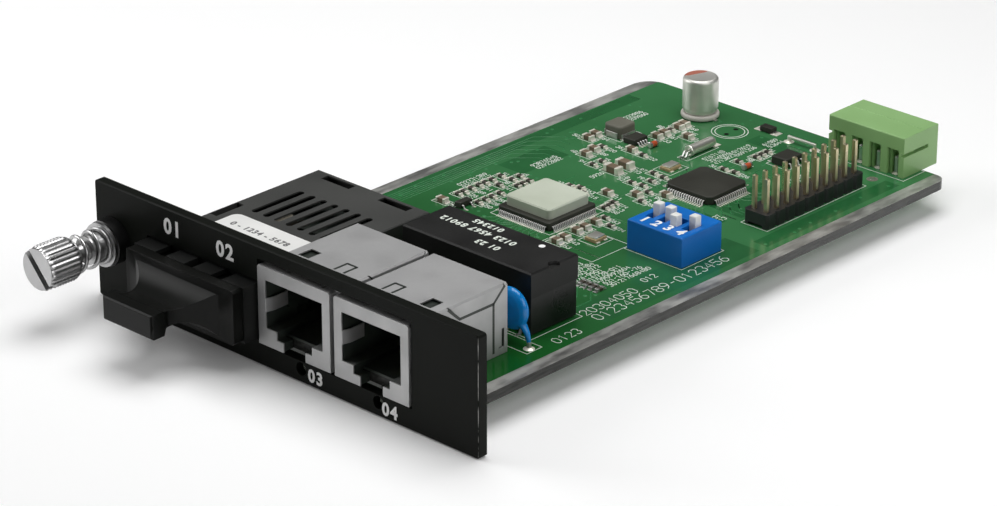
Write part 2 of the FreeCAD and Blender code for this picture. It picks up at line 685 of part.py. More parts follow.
# Dust plug: two prongs, a base and a waisted grip
def plug_grip():
    y0 = -NOSE_REACH - PLUG_GAP - PLUG_BASE_T + 0.01
    y_end = -NOSE_REACH - PLUG_GAP - PLUG_REACH
    plan = []
    for side in (1, -1):
        half = PLUG_HALF - 0.3
        arc = Part.Arc(point(OPTIC_X + side * half, y0, 0), point(OPTIC_X + side * 6.9, y0 - 2.1, 0),
                       point(OPTIC_X + side * 4.8, y0 - 7.0, 0))
        plan.append(arc.toShape())
        corners = [point(OPTIC_X + side * 4.8, y0 - 7.0, 0), point(OPTIC_X + side * 5.75, y0 - 8.3, 0),
                   point(OPTIC_X + side * 5.75, y_end + 0.4, 0), point(OPTIC_X + side * 5.35, y_end, 0)]
        for a, b in zip(corners, corners[1:]):
            plan.append(Part.makeLine(a, b))
    half = PLUG_HALF - 0.3
    plan.append(Part.makeLine(point(OPTIC_X - half, y0, 0), point(OPTIC_X + half, y0, 0)))
    plan.append(Part.makeLine(point(OPTIC_X - 5.35, y_end, 0), point(OPTIC_X + 5.35, y_end, 0)))
    flat = Part.Face(Part.Wire(Part.sortEdges(plan)[0])).extrude(point(0, 0, 30))
    middle = (PLUG_BOTTOM + OPTIC_TOP) / 2.0
    side_edges = []
    for side in (1, -1):
        arc = Part.Arc(point(0, y0, middle + side * 4.4), point(0, y0 - 2.3, middle + side * 1.9),
                       point(0, y0 - 5.6, middle + side * 1.2))
        side_edges.append(arc.toShape())
        corners = [point(0, y0 - 5.6, middle + side * 1.2), point(0, y0 - 7.4, middle + side * 1.45),
                   point(0, y0 - 8.3, middle + side * 2.05), point(0, y_end + 0.3, middle + side * 2.05),
                   point(0, y_end, middle + side * 1.75)]
        for a, b in zip(corners, corners[1:]):
            side_edges.append(Part.makeLine(a, b))
    side_edges.append(Part.makeLine(point(0, y0, middle - 4.4), point(0, y0, middle + 4.4)))
    side_edges.append(Part.makeLine(point(0, y_end, middle - 1.75), point(0, y_end, middle + 1.75)))
    tall = Part.Face(Part.Wire(Part.sortEdges(side_edges)[0])).extrude(point(100, 0, 0))
    return flat.common(tall)


def dust_plug():
    y1 = -NOSE_REACH - PLUG_GAP
    y0 = y1 - PLUG_BASE_T
    base = block(OPTIC_X - PLUG_HALF, OPTIC_X + PLUG_HALF, y0, y1, PLUG_BOTTOM, OPTIC_TOP)
    base = base.makeChamfer(0.4, edges_along(base, AXIS_Y))
    shapes = [base, plug_grip()]
    bores = []
    for x in PORT_XS:
        half = PORT_W / 2.0 - PRONG_GAP
        tall = PORT_H / 2.0 - PRONG_GAP
        shapes.append(block(x - half, x + half, y1 - 0.1, y1 + PRONG_L, PORT_Z - tall, PORT_Z + tall))
        bores.append(lengthwise_prism(PRONG_BORE_R, x, PORT_Z, y1 + 1.0, y1 + PRONG_L + 1, 12))
    return remove(join(shapes), bores)


# Network jacks: sheet shield, moulded insert, eight contacts each
def jack_window(centre, y0, y1):
    """Opening for a network plug, with the stepped notch for its latch below."""
    half = WINDOW_W / 2.0
    low = JACK_BOTTOM - 1
    right = [(NOTCH_HALF, low), (NOTCH_HALF, NOTCH_STEP_Z), (NOTCH_STEP_HALF, NOTCH_STEP_Z),
             (NOTCH_STEP_HALF, WINDOW_BOTTOM), (half, WINDOW_BOTTOM), (half, WINDOW_TOP)]
    left = [(-x, z) for x, z in reversed(right)]
    return prism_y([(centre + x, z) for x, z in right + left], y0, y1)


def jack_legs(centre):
    """Low x, high x, low y and high y of the shield's two solder legs."""
    places = []
    for side, y in LEGS:
        outer = centre + side * JACK_W / 2.0
        inner = outer - side * SHEET_T
        places.append((min(outer, inner), max(outer, inner), y, y + LEG_W))
    return places


def shield_top_cuts(centre, mirrored):
    """A square hole and a cut-free tongue in the top sheet."""
    side = -1 if mirrored else 1
    hole = centre - side * 4.7
    tongue = centre + side * 3.15
    w = SEAM_W
    half = 1.15
    y0 = JACK_FRONT + 6.7
    y1 = JACK_FRONT + 9.6
    cuts = [block(hole - half, hole + half, y0, y1, JACK_TOP - 1, JACK_TOP + 1)]
    for x in (tongue - half, tongue + half - w):
        cuts.append(block(x, x + w, y0, y1, JACK_TOP - 1, JACK_TOP + 1))
    cuts.append(block(tongue - half, tongue + half, y1 - w, y1, JACK_TOP - 1, JACK_TOP + 1))
    return cuts


def shield_side_seam(centre):
    """Seam around the flap that the top sheet folds down over the right side."""
    x = centre + JACK_W / 2.0
    y = JACK_REAR - 3.05
    z = JACK_TOP - 2.6
    flap = strip([(y - 9.9, JACK_TOP + 0.2), (y - 7.3, z), (y, z), (JACK_REAR - 0.3, JACK_TOP + 0.1)], SEAM_W)
    return [prism_x(flap, x - SHEET_T - 0.1, x + 1),
            block(x - SHEET_T - 0.1, x + 1, y - SEAM_W / 2.0, y + SEAM_W / 2.0, BOARD_TOP + 0.7, z)]


def shield_tongues(centre, sides):
    """Sprung tongues that touch the panel: two above, two on each open side."""
    y0 = JACK_FRONT + 0.5
    shapes = []
    for x in (centre - TONGUE_SPREAD, centre + TONGUE_SPREAD):
        bow = [(y0 + 4.2, JACK_TOP - 0.12), (y0 + 1.4, JACK_TOP + TONGUE_RISE), (y0, JACK_TOP - 0.1)]
        shapes.append(prism_x(strip(bow, 0.2), x - TONGUE_HALF, x + TONGUE_HALF))
    for side in sides:
        edge = centre + side * JACK_W / 2.0
        bow = [(edge - side * 0.12, y0 + 4.2), (edge + side * SIDE_TONGUE_RISE, y0 + 1.4), (edge - side * 0.1, y0)]
        for z0, z1 in SIDE_TONGUES:
            shapes.append(prism_z(strip(bow, 0.2), z0, z1))
    return shapes


def shield_side_slits(centre):
    """Lanced corner of the right wall that grips the liner."""
    x = centre + JACK_W / 2.0
    tall = block(x - 1, x + 1, JACK_REAR - 1.25, JACK_REAR - 0.7, BOARD_TOP + 1.2, BOARD_TOP + 4.3)
    low = block(x - 1, x + 1, JACK_REAR - 1.95, JACK_REAR - 1.2, BOARD_TOP + 1.2, BOARD_TOP + 1.4)
    return [tall, low]


def shield_finger(centre):
    """Grounding finger that bends from the frame's left edge into the window."""
    x = centre - WINDOW_W / 2.0
    y = JACK_FRONT
    path = [(x - 0.3, y + 0.13), (x + 0.02, y + 0.13), (x + 0.4, y + 1.5), (x + 0.3, y + 4.4)]
    return prism_z(strip(path, 0.2), FINGER_Z[0], FINGER_Z[1])


def jack_shield(centre, mirrored, tongue_sides):
    half = JACK_W / 2.0
    t = SHEET_T
    outer = prism_x([
        (JACK_FRONT, JACK_BOTTOM), (BOARD_FRONT - 0.3, JACK_BOTTOM), (BOARD_FRONT - 0.3, BOARD_TOP + 0.05),
        (JACK_REAR, BOARD_TOP + 0.05), (JACK_REAR, JACK_TOP), (JACK_FRONT, JACK_TOP),
    ], centre - half, centre + half)
    ridges = [e for e in edges_along(outer, AXIS_Y) if e.BoundBox.ZMin > JACK_TOP - 0.1]
    outer = outer.makeChamfer(RIDGE, ridges)
    inside = block(centre - half + t, centre + half - t, JACK_FRONT + t, JACK_REAR - t, 0, JACK_TOP - t)
    tools = [inside, jack_window(centre, JACK_FRONT - 1, JACK_FRONT + 1)] + shield_side_slits(centre)
    shell = remove(outer, tools + shield_top_cuts(centre, mirrored) + shield_side_seam(centre))
    extras = shield_tongues(centre, tongue_sides) + [shield_finger(centre)]
    for x0, x1, y0, y1 in jack_legs(centre):
        extras.append(block(x0, x1, y0, y1, PIN_TIP, BOARD_TOP + 1))
    return join([shell] + extras)


def jack_insert(centre):
    half = JACK_W / 2.0 - SHEET_T - 0.1
    top = JACK_TOP - SHEET_T - RIDGE
    y0 = JACK_FRONT + SHEET_T + 0.05
    lip_y = BOARD_FRONT - 0.3
    rear = JACK_REAR - SHEET_T - 0.1
    body = prism_x([(y0, JACK_BOTTOM + 0.2), (lip_y, JACK_BOTTOM + 0.2), (lip_y, BOARD_TOP), (rear, BOARD_TOP),
                    (rear, top), (y0, top)], centre - half, centre + half)
    pegs = []
    for side in (-1, 1):
        pegs.append(upright_prism(PEG_R, centre + side * PEG_SPREAD, PEG_Y, BOARD_Z - 0.4, BOARD_TOP + 0.5))
    window = WINDOW_W / 2.0
    tools = [
        jack_window(centre, y0 - 1, BOARD_FRONT - 0.1),
        block(centre - window, centre + window, y0 - 1, JACK_FRONT + 14.8, WINDOW_BOTTOM, WINDOW_TOP),
        block(centre - NOTCH_STEP_HALF, centre + NOTCH_STEP_HALF, y0, JACK_FRONT + 11.3, BOARD_TOP + 0.4, WINDOW_BOTTOM + 1),
        block(centre - window - 0.5, centre - window + 1, y0 - 1, JACK_FRONT + 4.8, FINGER_Z[0] - 0.15, FINGER_Z[1] + 0.15),
    ]
    run = CONTACT_RUN_Z
    for x in contact_xs(centre):
        tools.append(prism_x([
            (JACK_FRONT + 2.3, WINDOW_TOP - 0.5), (JACK_FRONT + 8.8, WINDOW_TOP - 0.5), (JACK_FRONT + 8.8, run - 0.2),
            (CONTACT_Y - 0.25, run - 0.2), (CONTACT_Y - 0.25, BOARD_TOP - 1), (CONTACT_Y + 0.25, BOARD_TOP - 1),
            (CONTACT_Y + 0.25, run + 0.2), (JACK_FRONT + 2.3, run + 0.2),
        ], x - 0.3, x + 0.3))
    return remove(join([body] + pegs), tools)


def jack_contacts(centre):
    run = CONTACT_RUN_Z
    path = [(CONTACT_Y, PIN_TIP), (CONTACT_Y, run), (JACK_FRONT + 3.0, run), (JACK_FRONT + 2.65, run - 0.7),
            (JACK_FRONT + 9.9, run - 4.6)]
    shapes = []
    for x in contact_xs(centre):
        shapes.append(prism_x(strip(path, CONTACT_T), x - CONTACT_W / 2.0, x + CONTACT_W / 2.0))
    return shapes


# Status lamps on the board's underside, with their domes in the panel holes
def status_lamps():
    shapes = []
    for centre in JACK_CENTRES:
        x = centre + LAMP_SHIFT
        y = BOARD_FRONT + 0.1
        body = block(x - 1.4, x + 1.4, y, y + 2.6, LAMP_Z - 1.4, BOARD_Z)
        stem = lengthwise_prism(LAMP_R, x, LAMP_Z, LAMP_BACK, y + 0.1, 12)
        stem = stem.makeChamfer(0.4, edges_at_y(stem, LAMP_BACK))
        shapes.append(join([body, stem]))
    return shapes


# Isolation transformer block
def transformer_cap():
    z0 = BOARD_TOP + TRANS_SEAM + 0.02
    z1 = BOARD_TOP + TRANS_H
    cap = block(TRANS_X0, TRANS_X1, TRANS_Y0, TRANS_Y1, z0, z1)
    notch = upright_prism(1.1, TRANS_X1, (TRANS_Y0 + TRANS_Y1) / 2.0, z1 - 0.6, z1 + 1, 16)
    cap = cap.makeChamfer(0.25, edges_at_z(cap, z1))
    inner = block(TRANS_X0 + 1.0, TRANS_X1 - 1.2, TRANS_Y0 + 1.0, TRANS_Y1 - 1.0, z0 - 1, z1 - 1.2)
    return remove(cap, [notch, inner])


def transformer_tray():
    z0 = BOARD_TOP + 0.3
    z1 = BOARD_TOP + TRANS_SEAM
    tray = block(TRANS_X0 + 0.15, TRANS_X1 - 0.15, TRANS_Y0 + 0.15, TRANS_Y1 - 0.15, z0, z1)
    inner = block(TRANS_X0 + 1.2, TRANS_X1 - 1.2, TRANS_Y0 + 1.2, TRANS_Y1 - 1.2, z0 + 1.0, z1 + 1)
    return remove(tray, [inner])


def transformer_leads():
    shapes = []
    pitch = (TRANS_X1 - TRANS_X0 - 4.0) / (TRANS_LEADS - 1)
    z = BOARD_TOP
    for i in range(TRANS_LEADS):
        x = TRANS_X0 + 2.0 + i * pitch
        for y, side in ((TRANS_Y0 + 0.15, -1), (TRANS_Y1 - 0.15, 1)):
            path = [(y, z + 1.0), (y + side * 0.55, z + 0.13), (y + side * 1.3, z + 0.13)]
            shapes.append(prism_x(strip(path, 0.25), x - 0.25, x + 0.25))
    return shapes


# Disc capacitor with kinked leads
def disc_path(side):
    z = BOARD_TOP
    far = DISC_X + side * DISC_LEAD_HALF
    near = DISC_X + side * DISC_R * 0.6
    middle = z + DISC_H - DISC_R
    return [(far, PIN_TIP), (far, z + 0.9), (far - side * 0.45, z + 2.2), (near, middle - DISC_R * 0.5)]


def disc_capacitor():
    z = BOARD_TOP + DISC_H - DISC_R
    low = DISC_Y - DISC_T / 2.0
    high = DISC_Y + DISC_T / 2.0
    disc = lengthwise_prism(DISC_R, DISC_X, z, low, high, DISC_SIDES)
    disc = disc.makeChamfer(DISC_ROUND, edges_at_y(disc, low) + edges_at_y(disc, high))
    drops = []
    core = []
    for side in (-1, 1):
        path = disc_path(side)[1:]
        path[0] = (path[0][0] - side * 0.06, BOARD_TOP + 1.1)
        drops.append(prism_y(strip(path, 1.2), DISC_Y - 0.6, DISC_Y + 0.6))
        core.append(prism_y(strip(disc_path(side), 0.56), DISC_Y - 0.28, DISC_Y + 0.28))
    return remove(join([disc] + drops), core)


def disc_capacitor_leads():
    shapes = []
    for side in (-1, 1):
        shapes.append(prism_y(strip(disc_path(side), 0.52), DISC_Y - 0.26, DISC_Y + 0.26))
    return shapes


# Flat chips with leads on four sides
def chip_body(chip, corner, top_bevel):
    x, y, side, height, pitch = chip
    half = side / 2.0
    c = corner
    outline = [(x - half + c, y - half), (x + half - c, y - half), (x + half, y - half + c), (x + half, y + half - c),
               (x + half - c, y + half), (x - half + c, y + half), (x - half, y + half - c), (x - half, y - half + c)]
    body = prism_z(outline, BOARD_TOP + 0.1, BOARD_TOP + height)
    return body.makeChamfer(top_bevel, edges_at_z(body, BOARD_TOP + height))


def chip_leads(chip, count, width, reach):
    """Gull-wing leads on four sides, each a short ramp from the body to the board."""
    x, y, side, height, pitch = chip
    half = side / 2.0
    z = BOARD_TOP
    ramp = [(half, z + height / 2.0 - 0.12), (half, z + height / 2.0 + 0.12), (half + reach, z)]
    shapes = []
    for i in range(count):
        shift = (i - (count - 1) / 2.0) * pitch
        lead = prism_y(ramp, shift - width / 2.0, shift + width / 2.0)
        for quarter in range(4):
            turned = lead.copy()
            turned.rotate(point(0, 0, 0), AXIS_Z, 90 * quarter)
            turned.translate(point(x, y, 0))
            shapes.append(turned)
    return shapes


def heat_pad():
    x, y = MAIN_CHIP[0] - 0.2, MAIN_CHIP[1] + 0.3
    z = BOARD_TOP + MAIN_CHIP[3]
    half = PAD_SIDE / 2.0
    pad = rounded_block(x - half, x + half, y - half, y + half, z, z + PAD_T, PAD_CORNER_R, AXIS_Z)
    return pad.makeChamfer(0.2, edges_at_z(pad, z + PAD_T))


# Can capacitor
def can_capacitor():
    z0 = BOARD_TOP + CAN_BASE_H
    z1 = BOARD_TOP + CAN_TOP
    can = upright(CAN_R, CAN_X, CAN_Y, z0, z1)
    can = can.makeChamfer(0.4, edges_at_z(can, z1))
    groove = upright(CAN_R + 1, CAN_X, CAN_Y, z0 + 0.7, z0 + 1.1)
    groove = remove(groove, [upright(CAN_R - 0.2, CAN_X, CAN_Y, z0, z0 + 2)])
    return remove(can, [groove])


def can_capacitor_base():
    x, y = CAN_X, CAN_Y
    base = upright(CAN_BASE_R, x, y, BOARD_TOP + 0.1, BOARD_TOP + CAN_BASE_H)
    tools = []
    for side in (-1, 1):
        tools.append(block(x + min(side * 0.9, side * 9), x + max(side * 0.9, side * 9), y - 0.45, y + 0.45,
                           BOARD_TOP - 1, BOARD_TOP + 0.3))
    return remove(base, tools)


def can_capacitor_leads():
    shapes = []
    for side in (-1, 1):
        a = CAN_X + side * 1.0
        b = CAN_X + side * (CAN_BASE_R + 0.5)
        shapes.append(block(min(a, b), max(a, b), CAN_Y - 0.4, CAN_Y + 0.4, BOARD_TOP, BOARD_TOP + 0.2))
    return shapes


# Four-way slide switch
def dip_switch_body():
    top = BOARD_TOP + SWITCH_H
    body = block(SWITCH_X0, SWITCH_X1, SWITCH_Y0, SWITCH_Y1, BOARD_TOP, top)
    body = body.makeChamfer(0.2, edges_at_z(body, top))
    tools = []
    for x in slide_xs():
        half = SLIDE_SLOT_W / 2.0
        tools.append(block(x - half, x + half, SLIDE_Y0, SLIDE_Y1, top - 2.2, top + 1))
        tools.append(block(x - 1.02, x + 1.02, SLIDE_Y0 - 0.45, SLIDE_Y1 + 0.45, top - 4.0, top - 2.1))
        for y in (SWITCH_Y0 + 1.0, SWITCH_Y1 - 1.0):
            tools.append(block(x - 0.27, x + 0.27, y - 0.17, y + 0.17, BOARD_TOP - 1, BOARD_TOP + 1.5))
    return remove(body, tools)


def dip_switch_pins():
    shapes = []
    for x in slide_xs():
        for y in (SWITCH_Y0 + 1.0, SWITCH_Y1 - 1.0):
            shapes.append(block(x - 0.25, x + 0.25, y - 0.15, y + 0.15, PIN_TIP, BOARD_TOP + 1.5))
    return shapes


def dip_slider(index):
    x = slide_xs()[index]
    y = SLIDER_Y[index]
    half = SLIDER_SIDE / 2.0
    top = BOARD_TOP + SWITCH_H
    knob = block(x - half, x + half, y - half, y + half, top - 2.3, top + SLIDER_PROUD)
    knob = knob.makeChamfer(0.15, edges_at_z(knob, top + SLIDER_PROUD))
    foot = block(x - 0.92, x + 0.92, y - 1.05, y + 1.05, top - 3.9, top - 2.25)
    return join([knob, foot])


# Two-row pin header
def header_base():
    x0 = HEADER_X[0] - PIN_PITCH / 2.0
    x1 = HEADER_X[1] + PIN_PITCH / 2.0
    c = 0.45
    left = []
    right = []
    for y in header_ys():
        y0 = y - PIN_PITCH / 2.0
        y1 = y + PIN_PITCH / 2.0
        right += [(x1 - c, y0), (x1, y0 + c), (x1, y1 - c)]
        left += [(x0 + c, y0), (x0, y0 + c), (x0, y1 - c)]
    right.append((x1 - c, header_ys()[-1] + PIN_PITCH / 2.0))
    left.append((x0 + c, header_ys()[-1] + PIN_PITCH / 2.0))
    base = prism_z(right + left[::-1], BOARD_TOP, BOARD_TOP + HEADER_H)
    tools = []
    arch_x = sum(HEADER_X) / 2.0
    tools.append(block(arch_x - 1.5, arch_x + 1.5, HEADER_Y0 - 5, header_ys()[-1] + 5, BOARD_TOP - 1, BOARD_TOP + 0.5))
    half = HEADER_PIN / 2.0 + 0.01
    for x in HEADER_X:
        for y in header_ys():
            tools.append(block(x - half, x + half, y - half, y + half, BOARD_TOP - 1, BOARD_TOP + HEADER_H + 1))
    return remove(base, tools)


def header_pins():
    shapes = []
    half = HEADER_PIN / 2.0
    top = BOARD_TOP + HEADER_PIN_TOP
    for x in HEADER_X:
        for y in header_ys():
            pin = block(x - half, x + half, y - half, y + half, PIN_TIP, top)
            shapes.append(pin.makeChamfer(0.16, edges_at_z(pin, top)))
    return shapes


# Terminal header at the rear edge, its socket open to the rear
def terminal_housing():
    """Socket that opens to the rear, with pin grooves under the lip of its front."""
    z0 = BOARD_TOP
    z1 = z0 + TERM_H
    lip = z0 + TERM_LIP_H
    floor = TERM_Y0 + TERM_FLOOR_Y
    pin_y = TERM_Y0 + TERM_PIN_SET
    profile = [(TERM_Y0, z0), (TERM_Y1, z0), (TERM_Y1, z1), (TERM_Y0 + 0.15, z1), (TERM_Y0, z1 - 0.15)]
    core = prism_x(profile, TERM_X0, TERM_X1)
    tools = [block(TERM_X0 + 1.1, TERM_X1 - 1.1, floor, TERM_Y1 + 1, z0 + 1.0, z1 - 1.4)]
    tools.append(block(TERM_X0 - 1, TERM_X1 + 1, TERM_Y1 - 3.95, TERM_Y1 - 3.65, z1 - 0.1, z1 + 1))
    low, high, end = TERM_SLOT
    for edge, side in ((TERM_X0, 1), (TERM_X1, -1)):
        for depth, y0, y1 in ((0.7, TERM_Y0 - 1, TERM_Y0 + end), (1.2, floor + 0.2, TERM_Y0 + end - 0.4)):
            xs = sorted((edge - side, edge + side * depth))
            tools.append(block(xs[0], xs[1], y0, y1, z0 + low, z0 + high))
    webs = []
    half = TERM_PIN / 2.0 + 0.02
    z = z0 + TERM_PIN_H
    for x in term_xs():
        reach = TERM_GROOVE_W / 2.0
        tools.append(block(x - reach, x + reach, TERM_Y0 - 1, TERM_Y0 + TERM_GROOVE_D, z0 - 1, lip))
        tools.append(block(x - half, x + half, pin_y, floor + 1, z - half, z + half))
        tools.append(block(x - 0.9, x + 0.9, TERM_Y1 - 3.0, TERM_Y1 + 1, z1 - 1.6, z1 - 0.7))
        webs.append(block(x - reach + 0.15, x - half - 0.2, TERM_Y0 + 0.6, TERM_Y0 + TERM_GROOVE_D + 0.1, z0, lip + 0.1))
    return join([remove(core, tools)] + webs)


def terminal_pins():
    shapes = []
    half = TERM_PIN / 2.0
    z = BOARD_TOP + TERM_PIN_H
    y = TERM_Y0 + TERM_PIN_SET
    for x in term_xs():
        post = block(x - half, x + half, y, y + TERM_PIN, PIN_TIP, z + half)
        arm = block(x - half, x + half, y, TERM_Y1 - 1.2, z - half, z + half)
        pin = join([post, arm])
        bend = [e for e in edges_at_y(pin, y) if abs(e.BoundBox.ZMin - z - half) < 1e-6]
        shapes.append(pin.makeChamfer(0.35, bend))
    return shapes


# Crystals, inductor, diodes, small chips and chip parts
def crystal_can():
    x, y0, y1 = CRYSTAL
    can = lengthwise(CRYSTAL_R, x, BOARD_TOP + CRYSTAL_R, y0, y1)
    return can.makeChamfer(0.2, edges_at_y(can, y1))


def crystal_leads():
    x, y, far = CRYSTAL
    z = BOARD_TOP + CRYSTAL_LEAD * 0.65
    top = BOARD_TOP + CRYSTAL_R
    shapes = []
    for side in (-1, 1):
        at = x + side * 0.35
        low = strip([(y, top), (y - 0.6, top), (y - 1.1, z), (y - 2.0, z)], CRYSTAL_LEAD)
        shapes.append(prism_x(low, at - CRYSTAL_LEAD / 2.0, at + CRYSTAL_LEAD / 2.0))
    return shapes


def flat_crystals():
    shapes = []
    for x0, x1, y0, y1 in FLAT_CRYSTALS:
        base = block(x0, x1, y0, y1, BOARD_TOP, BOARD_TOP + 0.6)
        lid = block(x0 + 0.2, x1 - 0.2, y0 + 0.2, y1 - 0.2, BOARD_TOP + 0.55, BOARD_TOP + 0.9)
        shapes.append(join([base, lid]))
    return shapes


def power_inductor():
    x, y = INDUCTOR
    length, width, height = INDUCTOR_SIZE
    body = block(x - length / 2.0, x + length / 2.0, y - width / 2.0, y + width / 2.0, BOARD_TOP, BOARD_TOP + height)
    body = body.makeChamfer(0.5, edges_along(body, AXIS_Z))
    return body.makeChamfer(0.25, edges_at_z(body, BOARD_TOP + height))


def diodes():
    z = BOARD_TOP
    x, y = REAR_DIODE
    length, width, height = REAR_DIODE_SIZE
    body = block(x - length / 2.0, x + length / 2.0, y - width / 2.0, y + width / 2.0, z, z + height)
    body = body.makeChamfer(0.15, edges_at_z(body, z + height))
    ends = block(x - length / 2.0 - 0.5, x + length / 2.0 + 0.5, y - width / 4.0, y + width / 4.0, z, z + 0.3)
    shapes = [join([body, ends])]
    for x, y in GLASS_DIODES:
        parts = [lengthwise_prism(GLASS_R, x, z + GLASS_R + 0.05, y - GLASS_L / 2.0, y + GLASS_L / 2.0, 12)]
        for side in (-1, 1):
            a = y + side * (GLASS_L / 2.0 - 0.01)
            b = y + side * (GLASS_L / 2.0 + GLASS_END)
            parts.append(lengthwise_prism(GLASS_R + 0.05, x, z + GLASS_R + 0.05, min(a, b), max(a, b), 12))
        shapes.append(join(parts))
    return shapes


# Small chips: x, y, length x, length y, height, leads per side, pitch, leads on the x sides
SMALL_CHIPS = [
    (29.2, 96.5, 2.6, 3.4, 1.1, 4, 0.65, True),
    (53.95, 107.3, 3.3, 4.2, 1.5, 4, 1.0, True),
    (26.7, 56.4, 1.3, 2.9, 1.1, 2, 1.9, True),
]


def small_chips():
    shapes = []
    for x, y, lx, ly, h, count, pitch, on_x in SMALL_CHIPS:
        body = block(x - lx / 2.0, x + lx / 2.0, y - ly / 2.0, y + ly / 2.0, BOARD_TOP + 0.1, BOARD_TOP + h)
        shapes.append(body.makeChamfer(0.12, edges_at_z(body, BOARD_TOP + h)))
    return shapes


def small_chip_leads():
    shapes = []
    z = BOARD_TOP
    for x, y, lx, ly, h, count, pitch, on_x in SMALL_CHIPS:
        for i in range(count):
            at = y + (i - (count - 1) / 2.0) * pitch
            for side in (-1, 1):
                edge = x + side * lx / 2.0
                mid = z + h / 2.0
                shape = [(edge, mid - 0.1), (edge, mid + 0.1), (edge + side * 0.9, z + 0.14), (edge + side * 0.5, z)]
                shapes.append(prism_y(shape, at - 0.18, at + 0.18))
    return shapes


def chip_parts(places, size):
    length, width, height = size
    shapes = []
    for x, y in places:
        shapes.append(block(x - length / 2.0, x + length / 2.0, y - width / 2.0, y + width / 2.0,
                            BOARD_TOP, BOARD_TOP + height))
    return shapes


def chip_capacitors():
    return chip_parts(CAPS, CAP_SIZE) + chip_parts(BIG_CAPS, (3.2, 1.6, 1.2))


def chip_resistors():
    return chip_parts(RESISTORS, RES_SIZE)


def jumper_link():
    x0, x1 = JUMPER_XS
    z = BOARD_TOP + 0.95
    half = JUMPER_WIRE / 2.0
    path = [(x0, PIN_TIP + 0.6), (x0, z), (x1, z), (x1, PIN_TIP + 0.6)]
    return prism_y(strip(path, JUMPER_WIRE), JUMPER_Y - half, JUMPER_Y + half)


# Circuit board with every hole its parts need
def square_hole(half, x, y):
    return block(x - half, x + half, y - half, y + half, BOARD_Z - 1, BOARD_TOP + 1)


def circuit_board():
    board = block(BOARD_LEFT, BOARD_RIGHT, BOARD_FRONT, BOARD_REAR, BOARD_Z, BOARD_TOP)
    rear = [e for e in edges_along(board, AXIS_Z) if e.BoundBox.YMin > BOARD_REAR - 1]
    board = board.makeFillet(BOARD_CORNER_R, [e for e in rear if e.BoundBox.XMin < BOARD_LEFT + 1])
    rear = [e for e in edges_along(board, AXIS_Z) if e.BoundBox.XMin > BOARD_RIGHT - 0.01
            and e.BoundBox.YMin > BOARD_REAR - 0.01]
    board = board.makeFillet(BOARD_RIGHT_CORNER_R, rear)
    low = BOARD_Z - 1
    high = BOARD_TOP + 1
    tools = []
    for x, y in BRACKETS:
        tools.append(upright_prism(SCREW_R + 0.05, x, y, low, high))
    for x in optic_pin_xs():
        tools.append(square_hole(0.23 + HOLE_GAP, x, OPTIC_REAR - 2.8))
    for x in (optic_pin_xs()[0], optic_pin_xs()[-1]):
        tools.append(upright_prism(0.7 + HOLE_GAP, x, PORT_END + 9.4, low, high))
    for centre in JACK_CENTRES:
        for x0, x1, y0, y1 in jack_legs(centre):
            tools.append(block(x0 - 0.1, x1 + 0.1, y0 - 0.15, y1 + 0.15, low, high))
        for side in (-1, 1):
            tools.append(upright_prism(PEG_R + 0.05, centre + side * PEG_SPREAD, PEG_Y, low, high))
        for x in contact_xs(centre):
            tools.append(square_hole(CONTACT_W / 2.0 + HOLE_GAP, x, CONTACT_Y))
    for side in (-1, 1):
        tools.append(square_hole(0.26 + HOLE_GAP, DISC_X + side * DISC_LEAD_HALF, DISC_Y))
    for x in slide_xs():
        for y in (SWITCH_Y0 + 1.0, SWITCH_Y1 - 1.0):
            tools.append(square_hole(0.25 + HOLE_GAP, x, y))
    for x in HEADER_X:
        for y in header_ys():
            tools.append(square_hole(HEADER_PIN / 2.0 + HOLE_GAP, x, y))
    for x in term_xs():
        tools.append(square_hole(TERM_PIN / 2.0 + HOLE_GAP, x, TERM_Y0 + TERM_PIN_SET + TERM_PIN / 2.0))
    for x in JUMPER_XS:
        tools.append(square_hole(JUMPER_WIRE / 2.0 + HOLE_GAP, x, JUMPER_Y))
    for x, y in SPARE_HOLES:
        tools.append(upright_prism(0.45, x, y, low, high))
    return remove(board, tools)


